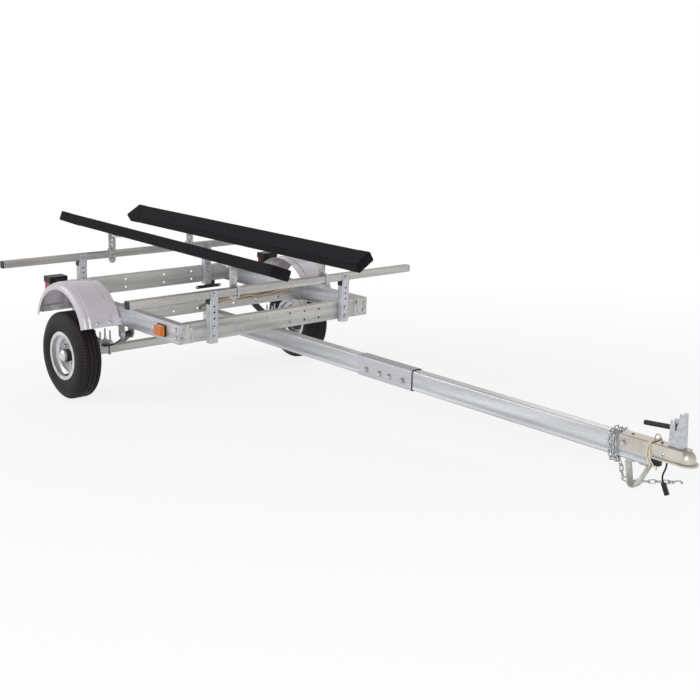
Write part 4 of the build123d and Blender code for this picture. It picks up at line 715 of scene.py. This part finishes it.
# Wheel nuts with their studs, and a valve through each rim
LUG_CIRCLE = 0.0508
LUG_COUNT = 4
LUG_FLATS = 0.019
LUG_HEIGHT = 0.014
LUG_WASHER = 0.0105
STUD_RADIUS = 0.006
STUD_REACH = 0.022
DISC_FACE = 0.006
VALVE_ROOT = 0.024
VALVE_CIRCLE = 0.0925
VALVE_RADIUS = 0.0045
VALVE_REACH = 0.026
VALVE_ANGLE = math.radians(-80)
for side_name, side in SIDES.items():
    body = f"wheel_{side_name}"
    outward = along(0, side, 0)
    wheel_nuts = bmesh.new()
    for k in range(LUG_COUNT):
        angle = 2 * math.pi * (k + 0.5) / LUG_COUNT
        place = at(LUG_CIRCLE * math.cos(angle), side * (WHEEL_Y + DISC_FACE),
                   AXLE_Z + LUG_CIRCLE * math.sin(angle))
        add_hex(wheel_nuts, place, outward, LUG_FLATS, LUG_HEIGHT, LUG_WASHER)
        add_stud(wheel_nuts, place, outward, STUD_RADIUS, STUD_REACH)
    name = f"wheel_nuts_{side_name}"
    make_object(name, finish_mesh(name, wheel_nuts, HARD_EDGES), zinc, body)
    valve = bmesh.new()
    place = at(VALVE_CIRCLE * math.cos(VALVE_ANGLE), side * (WHEEL_Y + VALVE_ROOT),
               AXLE_Z + VALVE_CIRCLE * math.sin(VALVE_ANGLE))
    add_stud(valve, place, outward, VALVE_RADIUS, VALVE_REACH)
    name = f"valve_{side_name}"
    make_object(name, finish_mesh(name, valve, HARD_EDGES), vinyl, body)

# Carpeted boards: a rounded box with an uneven pile, its ends folded under in a thicker lap
BOARD_STEPS = 330
CORNER_STEPS = 4
FACE_STEPS = 10
PILE_DEPTH = 0.0011
PILE_SCALE = 160
LAP_LENGTH = 0.075
LAP_STEP = 0.0014


def board_section():
    """Points round the board's section with their outward directions."""
    half_width = BUNK_WIDTH / 2 - BUNK_ROUND
    half_height = BUNK_THICKNESS / 2 - BUNK_ROUND
    corners = [Vector((half_width, half_height)), Vector((-half_width, half_height)),
               Vector((-half_width, -half_height)), Vector((half_width, -half_height))]
    points = []
    for k, corner in enumerate(corners):
        for step in range(CORNER_STEPS + 1):
            angle = math.pi / 2 * (k + step / CORNER_STEPS)
            way = Vector((math.cos(angle), math.sin(angle)))
            points.append((corner + way * BUNK_ROUND, way))
        last_point, last_way = points[-1]
        run = corners[(k + 1) % len(corners)] - corner
        for step in range(1, FACE_STEPS):
            points.append((last_point + run * (step / FACE_STEPS), last_way))
    return points


def make_board(side_name):
    """One carpeted board; the pile moves each point inward by a smooth uneven depth."""
    middle, heading, broad, face_up = bunk_frames[side_name]
    section = board_section()
    shape = bmesh.new()
    rings = []
    for step in range(BOARD_STEPS + 1):
        run = (step / BOARD_STEPS - 0.5) * BUNK_LENGTH
        from_end = BUNK_LENGTH / 2 - abs(run)
        lap = 0.0 if from_end < LAP_LENGTH else LAP_STEP
        short = max(0.0, BUNK_ROUND - from_end)
        rounded = BUNK_ROUND - math.sqrt(max(BUNK_ROUND ** 2 - short ** 2, 0.0))
        ring = []
        for point, way in section:
            rough = smooth_noise.noise(Vector((run, point.x, point.y)) * PILE_SCALE) * 0.5 + 0.5
            spot = point - way * (rough * PILE_DEPTH + lap + rounded)
            ring.append(shape.verts.new(at(*(middle + heading * run + broad * spot.x + face_up * spot.y))))
        rings.append(ring)
    join_rings(shape, rings, closed=False)
    shape.faces.new(rings[0])
    shape.faces.new(list(reversed(rings[-1])))
    name = f"carpet_{side_name}"
    board = make_object(name, finish_mesh(name, shape, SOFT_EDGES), pile, "chassis")
    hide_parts(f"bunk_{side_name}")


for side_name in BUNK_ROWS:
    make_board(side_name)


# Moulded trim: skirts of the post caps and hoods over the tail lamps
def add_prism(shape, outline, low, high):
    """A closed upright prism on the level trailer from an outline of x and y."""
    bottom = [shape.verts.new(at(x, y, low)) for x, y in outline]
    top = [shape.verts.new(at(x, y, high)) for x, y in outline]
    shape.faces.new(list(reversed(bottom)))
    shape.faces.new(top)
    for k in range(len(outline)):
        after = (k + 1) % len(outline)
        shape.faces.new((bottom[k], bottom[after], top[after], top[k]))


def u_outline(front, back, middle_y, half_width, wall):
    """Outline of a wall round the sides and the back of a block, open to the front."""
    inner = half_width + FIT_GAP
    outer = inner + wall
    inside = back - FIT_GAP
    outside = inside - wall
    return [(front, middle_y - outer), (front, middle_y - inner), (inside, middle_y - inner),
            (inside, middle_y + inner), (front, middle_y + inner), (front, middle_y + outer),
            (outside, middle_y + outer), (outside, middle_y - outer)]


TRIM_WALL = 0.0012
SKIRT_HEIGHT = 0.025
LAMP_Y = 0.652
LAMP_FRONT = -0.1903
LAMP_REAR = -0.2506
LAMP_HALF_WIDTH = 0.046
LAMP_TOP = 0.552
HOOD_HEIGHT = 0.028
trim = bmesh.new()
for side in SIDES.values():
    for end_name in ("front", "rear"):
        back = MEMBER_FRONTS[end_name]
        outline = u_outline(back + POST_DEPTH - POST_WALL, back, side * POST_Y, POST_WIDTH / 2, TRIM_WALL)
        add_prism(trim, outline, POST_CAP_TOP - SKIRT_HEIGHT, POST_CAP_TOP)
    outline = u_outline(LAMP_FRONT, LAMP_REAR, side * LAMP_Y, LAMP_HALF_WIDTH, TRIM_WALL)
    add_prism(trim, outline, LAMP_TOP - HOOD_HEIGHT, LAMP_TOP + FIT_GAP + TRIM_WALL)
    inner = LAMP_HALF_WIDTH + FIT_GAP
    lid = [(LAMP_REAR - FIT_GAP, side * LAMP_Y - inner), (LAMP_FRONT, side * LAMP_Y - inner),
           (LAMP_FRONT, side * LAMP_Y + inner), (LAMP_REAR - FIT_GAP, side * LAMP_Y + inner)]
    add_prism(trim, lid, LAMP_TOP + FIT_GAP, LAMP_TOP + FIT_GAP + TRIM_WALL)
make_object("moulded_trim", finish_mesh("moulded_trim", trim), plastic, "chassis")

# Rubber plugs in the top of the coupler
PLUG_PLACES = (2.702, 2.822)
PLUG_RADIUS = 0.006
plugs = bmesh.new()
for plug_x in PLUG_PLACES:
    add_rivet(plugs, at(plug_x, 0, COUPLER_TOP), upward, PLUG_RADIUS)
make_object("coupler_plugs", finish_mesh("coupler_plugs", plugs), vinyl, "chassis")

# Chain of round wire: each link stands where the plain link of the frame lies
LINK_WIRE = 0.0025
LINK_HALF_STRAIGHT = 0.008
LINK_TURN_RADIUS = 0.0065
LINK_TURN_STEPS = 10
LINK_WIRE_STEPS = 10
SAME_POINT = 1e-6
# Directions from which the search for a link's longest and shortest axes starts, and its rounds
LONG_GUESS = (0.3, 0.5, 0.8)
SHORT_GUESS = (0.8, -0.3, 0.5)
AXIS_ROUNDS = 60


def loose_links(mesh):
    """The points of each separate link in a mesh."""
    shape = bmesh.new()
    shape.from_mesh(mesh)
    bmesh.ops.remove_doubles(shape, verts=shape.verts, dist=SAME_POINT)
    waiting = dict.fromkeys(shape.verts)
    found = []
    while waiting:
        group = []
        growing = [waiting.popitem()[0]]
        while growing:
            vert = growing.pop()
            group.append(vert.co.copy())
            for edge in vert.link_edges:
                other = edge.other_vert(vert)
                if other in waiting:
                    del waiting[other]
                    growing.append(other)
        found.append(group)
    shape.free()
    return found


def settled_axis(matrix, guess):
    """The direction that a matrix stretches most."""
    for _ in range(AXIS_ROUNDS):
        guess = (matrix @ guess).normalized()
    return guess


def link_axes(places):
    """Middle, longest axis and shortest axis of a link's points."""
    middle = sum(places, Vector()) / len(places)
    spread = Matrix(((0, 0, 0), (0, 0, 0), (0, 0, 0)))
    for place in places:
        offset = place - middle
        for row in range(3):
            for column in range(3):
                spread[row][column] += offset[row] * offset[column]
    longest = settled_axis(spread, Vector(LONG_GUESS))
    shortest = settled_axis(spread.inverted(), Vector(SHORT_GUESS))
    return middle, longest, shortest


def add_link(shape, middle, longest, shortest):
    """A stadium of round wire."""
    across = shortest.cross(longest)
    rings = []
    for end in (1, -1):
        for step in range(LINK_TURN_STEPS + 1):
            angle = math.pi * (step / LINK_TURN_STEPS - 0.5)
            outward = longest * (end * math.cos(angle)) + across * (end * math.sin(angle))
            centre = middle + longest * (end * LINK_HALF_STRAIGHT) + outward * LINK_TURN_RADIUS
            ring = []
            for k in range(LINK_WIRE_STEPS):
                around = 2 * math.pi * k / LINK_WIRE_STEPS
                spoke = outward * math.cos(around) + shortest * math.sin(around)
                ring.append(shape.verts.new(centre + spoke * LINK_WIRE))
            rings.append(ring)
    join_rings(shape, rings, closed=True)


chain = bmesh.new()
for places in loose_links(nodes["safety_chain"].data):
    add_link(chain, *link_axes(places))
chain_mesh = finish_mesh("round_chain", chain, SOFT_EDGES)
chain_object = make_object("round_chain", chain_mesh, chain_zinc, "chassis")
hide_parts("safety_chain")

# Tail cord: the route's points, beside the harness on the level trailer
CORD_POINTS = [(2.864, 0, COUPLER_MOUTH - FIT_GAP), (2.864, 0, 0.312), (2.853, 0.001, 0.287),
               (2.850, 0.001, 0.268), (2.856, 0.002, 0.254)]
CORD_DIAMETER = 0.0064
cord_route = [at(x, HARNESS_Y + y, z) for x, y, z in CORD_POINTS]
tail_cord = make_object("tail_cord_smooth", smooth_curve("tail_cord_smooth", cord_route, CORD_DIAMETER / 2),
                        vinyl, "chassis")
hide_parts("tail_cord")

# Harness: two pale strands looped round the coupler and a brown one that arches over its top
STRAND_RADIUS = 0.0021
STRAND_STEP = 0.0024
LOOP_HALF = 0.0324
LOOP_TOP = 0.3860
LOOP_LOW = 0.2923
CORNER_OUT = 0.0016
# Each row: x from the loop's plane, y, z of the strands' route
STRAND_ROUTE = [
    (0.000, 0.003, LOOP_LOW), (0.000, LOOP_HALF + CORNER_OUT, LOOP_LOW - CORNER_OUT),
    (0.000, LOOP_HALF, 0.340), (0.000, LOOP_HALF + CORNER_OUT, LOOP_TOP + CORNER_OUT),
    (0.001, 0.012, LOOP_TOP), (0.002, -0.014, LOOP_TOP),
    (0.000, -LOOP_HALF - CORNER_OUT, LOOP_TOP + CORNER_OUT), (-0.007, -LOOP_HALF, 0.362),
    (-0.008, -LOOP_HALF, 0.335), (0.002, -LOOP_HALF - CORNER_OUT, 0.312),
    (0.006, -LOOP_HALF - CORNER_OUT, LOOP_LOW - CORNER_OUT), (0.003, -0.003, LOOP_LOW),
]
CONNECTOR_SIDE = -0.0437
CONNECTOR_LOW = 0.3096
# Each row: x from the loop's plane, y, z of the second strand's end, round the connector and up into it
LOOSE_END = [
    (-0.004, -LOOP_HALF, 0.362), (0.000, -0.0345, 0.345), (0.006, CONNECTOR_SIDE, 0.332),
    (0.018, CONNECTOR_SIDE, 0.318), (0.030, CONNECTOR_SIDE, 0.306), (0.038, -0.041, 0.295),
    (0.032, -0.033, 0.297), (0.028, -0.028, CONNECTOR_LOW),
]
LOOSE_START = 7
for k, shift in enumerate((-STRAND_STEP, STRAND_STEP)):
    rows = STRAND_ROUTE[:LOOSE_START] + LOOSE_END if k else STRAND_ROUTE
    route = [at(HARNESS_X + x + shift, y, z) for x, y, z in rows]
    name = f"harness_strand_{k}"
    strand_curve = smooth_curve(name, route, STRAND_RADIUS)
    make_object(name, strand_curve, tan_wire, "chassis")
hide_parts("harness_loop")
ARCH_ROUTE = [(2.801, -0.014, 0.3850), (2.799, -0.014, 0.404), (2.808, -0.012, 0.416),
              (2.822, -0.009, 0.406), (2.827, -0.006, 0.3850)]
ARCH_RADIUS = 0.0015
arch_points = [at(*place) for place in ARCH_ROUTE]
arch_curve = smooth_curve("harness_arch", arch_points, ARCH_RADIUS)
make_object("harness_arch", arch_curve, brown_wire, "chassis")

# Loose wires twisted along the loom, on the front of the middle member
LOOM_RADIUS = 0.004
LOOM_X = MEMBER_FRONTS["mid"] + FIT_GAP + LOOM_RADIUS
LOOM_POINTS = [(-0.100, 0.400), (0.060, 0.432), (0.260, 0.424), (0.4797, 0.434)]
WIRE_RADIUS = 0.0026
WIRE_REACH = 0.0100
WIRE_STEPS = 24
WIRE_SPREAD = 0.4
WIRE_TWIST = 0.3
WIRE_WAVE = 0.8
wire_finishes = (brown_wire, tan_wire, brown_wire, tan_wire, grey_wire, brown_wire)
wire_middle = (len(wire_finishes) - 1) / 2
for wire, wire_material in enumerate(wire_finishes):
    wire_points = []
    for step in range(WIRE_STEPS + 1):
        share = step / WIRE_STEPS * (len(LOOM_POINTS) - 1)
        k = min(int(share), len(LOOM_POINTS) - 2)
        spot = Vector(LOOM_POINTS[k]).lerp(Vector(LOOM_POINTS[k + 1]), share - k)
        swing = (wire - wire_middle) * WIRE_SPREAD + WIRE_TWIST * math.sin(step * WIRE_WAVE + wire)
        rise = WIRE_REACH * math.sin(swing)
        wire_points.append(at(LOOM_X + WIRE_REACH * math.cos(swing), spot.x, spot.y + rise))
    name = f"loom_wire_{wire}"
    make_object(name, smooth_curve(name, wire_points, WIRE_RADIUS), wire_material, "chassis")

# Studio: pale floor, soft light and a white surround
FLOOR_HALF = 60.0
FLOOR_COLOUR = (0.93, 0.93, 0.93, 1)
FLOOR_WHITE_NEAR = 0.82
FADE_START = 1.2
FADE_END = 4.2
SURROUND_LIGHT = 0.36


def seen_directly(tree):
    """1 for rays from the camera and for what metal and lenses show, else 0."""
    path = tree.nodes.new("ShaderNodeLightPath")
    total = path.outputs["Is Camera Ray"]
    for ray in ("Is Glossy Ray", "Is Transmission Ray"):
        larger = add_node(tree, "ShaderNodeMath", operation="MAXIMUM")
        tree.links.new(total, larger.inputs[0])
        tree.links.new(path.outputs[ray], larger.inputs[1])
        total = larger.outputs[0]
    return total


floor_mesh = bpy.data.meshes.new("floor")
floor_corners = [(-FLOOR_HALF, -FLOOR_HALF, 0), (FLOOR_HALF, -FLOOR_HALF, 0), (FLOOR_HALF, FLOOR_HALF, 0),
                 (-FLOOR_HALF, FLOOR_HALF, 0)]
floor_mesh.from_pydata(floor_corners, [], [(0, 1, 2, 3)])
floor = bpy.data.objects.new("floor", floor_mesh)
bpy.context.scene.collection.objects.link(floor)
floor_material, floor_tree, floor_shader = new_material("floor")
floor_shader.inputs["Base Color"].default_value = FLOOR_COLOUR
floor_shader.inputs["Roughness"].default_value = 0.9
floor_shader.inputs["Specular IOR Level"].default_value = 0.05
distance = add_node(floor_tree, "ShaderNodeVectorMath", operation="LENGTH")
floor_tree.links.new(coordinates(floor_tree), distance.inputs[0])
fade = add_node(floor_tree, "ShaderNodeMapRange")
fade.inputs["From Min"].default_value = FADE_START
fade.inputs["From Max"].default_value = FADE_END
fade.inputs["To Min"].default_value = FLOOR_WHITE_NEAR
floor_tree.links.new(distance.outputs["Value"], fade.inputs["Value"])
share_white = add_node(floor_tree, "ShaderNodeMath", operation="MULTIPLY")
floor_tree.links.new(fade.outputs["Result"], share_white.inputs[0])
floor_tree.links.new(seen_directly(floor_tree), share_white.inputs[1])
white = add_node(floor_tree, "ShaderNodeEmission", Strength=1.0)
floor_mix = floor_tree.nodes.new("ShaderNodeMixShader")
floor_tree.links.new(share_white.outputs[0], floor_mix.inputs["Fac"])
floor_tree.links.new(floor_shader.outputs["BSDF"], floor_mix.inputs[1])
floor_tree.links.new(white.outputs["Emission"], floor_mix.inputs[2])
floor_tree.links.new(floor_mix.outputs["Shader"], floor_tree.nodes["Material Output"].inputs["Surface"])
floor_mesh.materials.append(floor_material)

world = bpy.data.worlds.new("studio")
bpy.context.scene.world = world
world.use_nodes = True
world_tree = world.node_tree
background = world_tree.nodes["Background"]
background.inputs["Color"].default_value = (1, 1, 1, 1)
world_tree.links.new(mapped(world_tree, seen_directly(world_tree), SURROUND_LIGHT, 1.0),
                     background.inputs["Strength"])

# Each row: name, place, size in metres, power in watts
LIGHTS = [
    ("key", (4.2, -5.0, 2.2), 3.0, 210.0),
    ("fill", (-3.5, -4.0, 2.6), 3.0, 70.0),
    ("back", (-1.0, 5.0, 3.6), 3.5, 50.0),
]
AIM = Vector((0, 0, 0.3))
for light_name, light_place, light_size, light_power in LIGHTS:
    light_data = bpy.data.lights.new(light_name, "AREA")
    light_data.size = light_size
    light_data.energy = light_power
    light = bpy.data.objects.new(light_name, light_data)
    bpy.context.scene.collection.objects.link(light)
    beam = AIM - Vector(light_place)
    aimed = beam.to_track_quat("-Z", "Y").to_matrix().to_4x4()
    light.matrix_world = Matrix.Translation(light_place) @ aimed
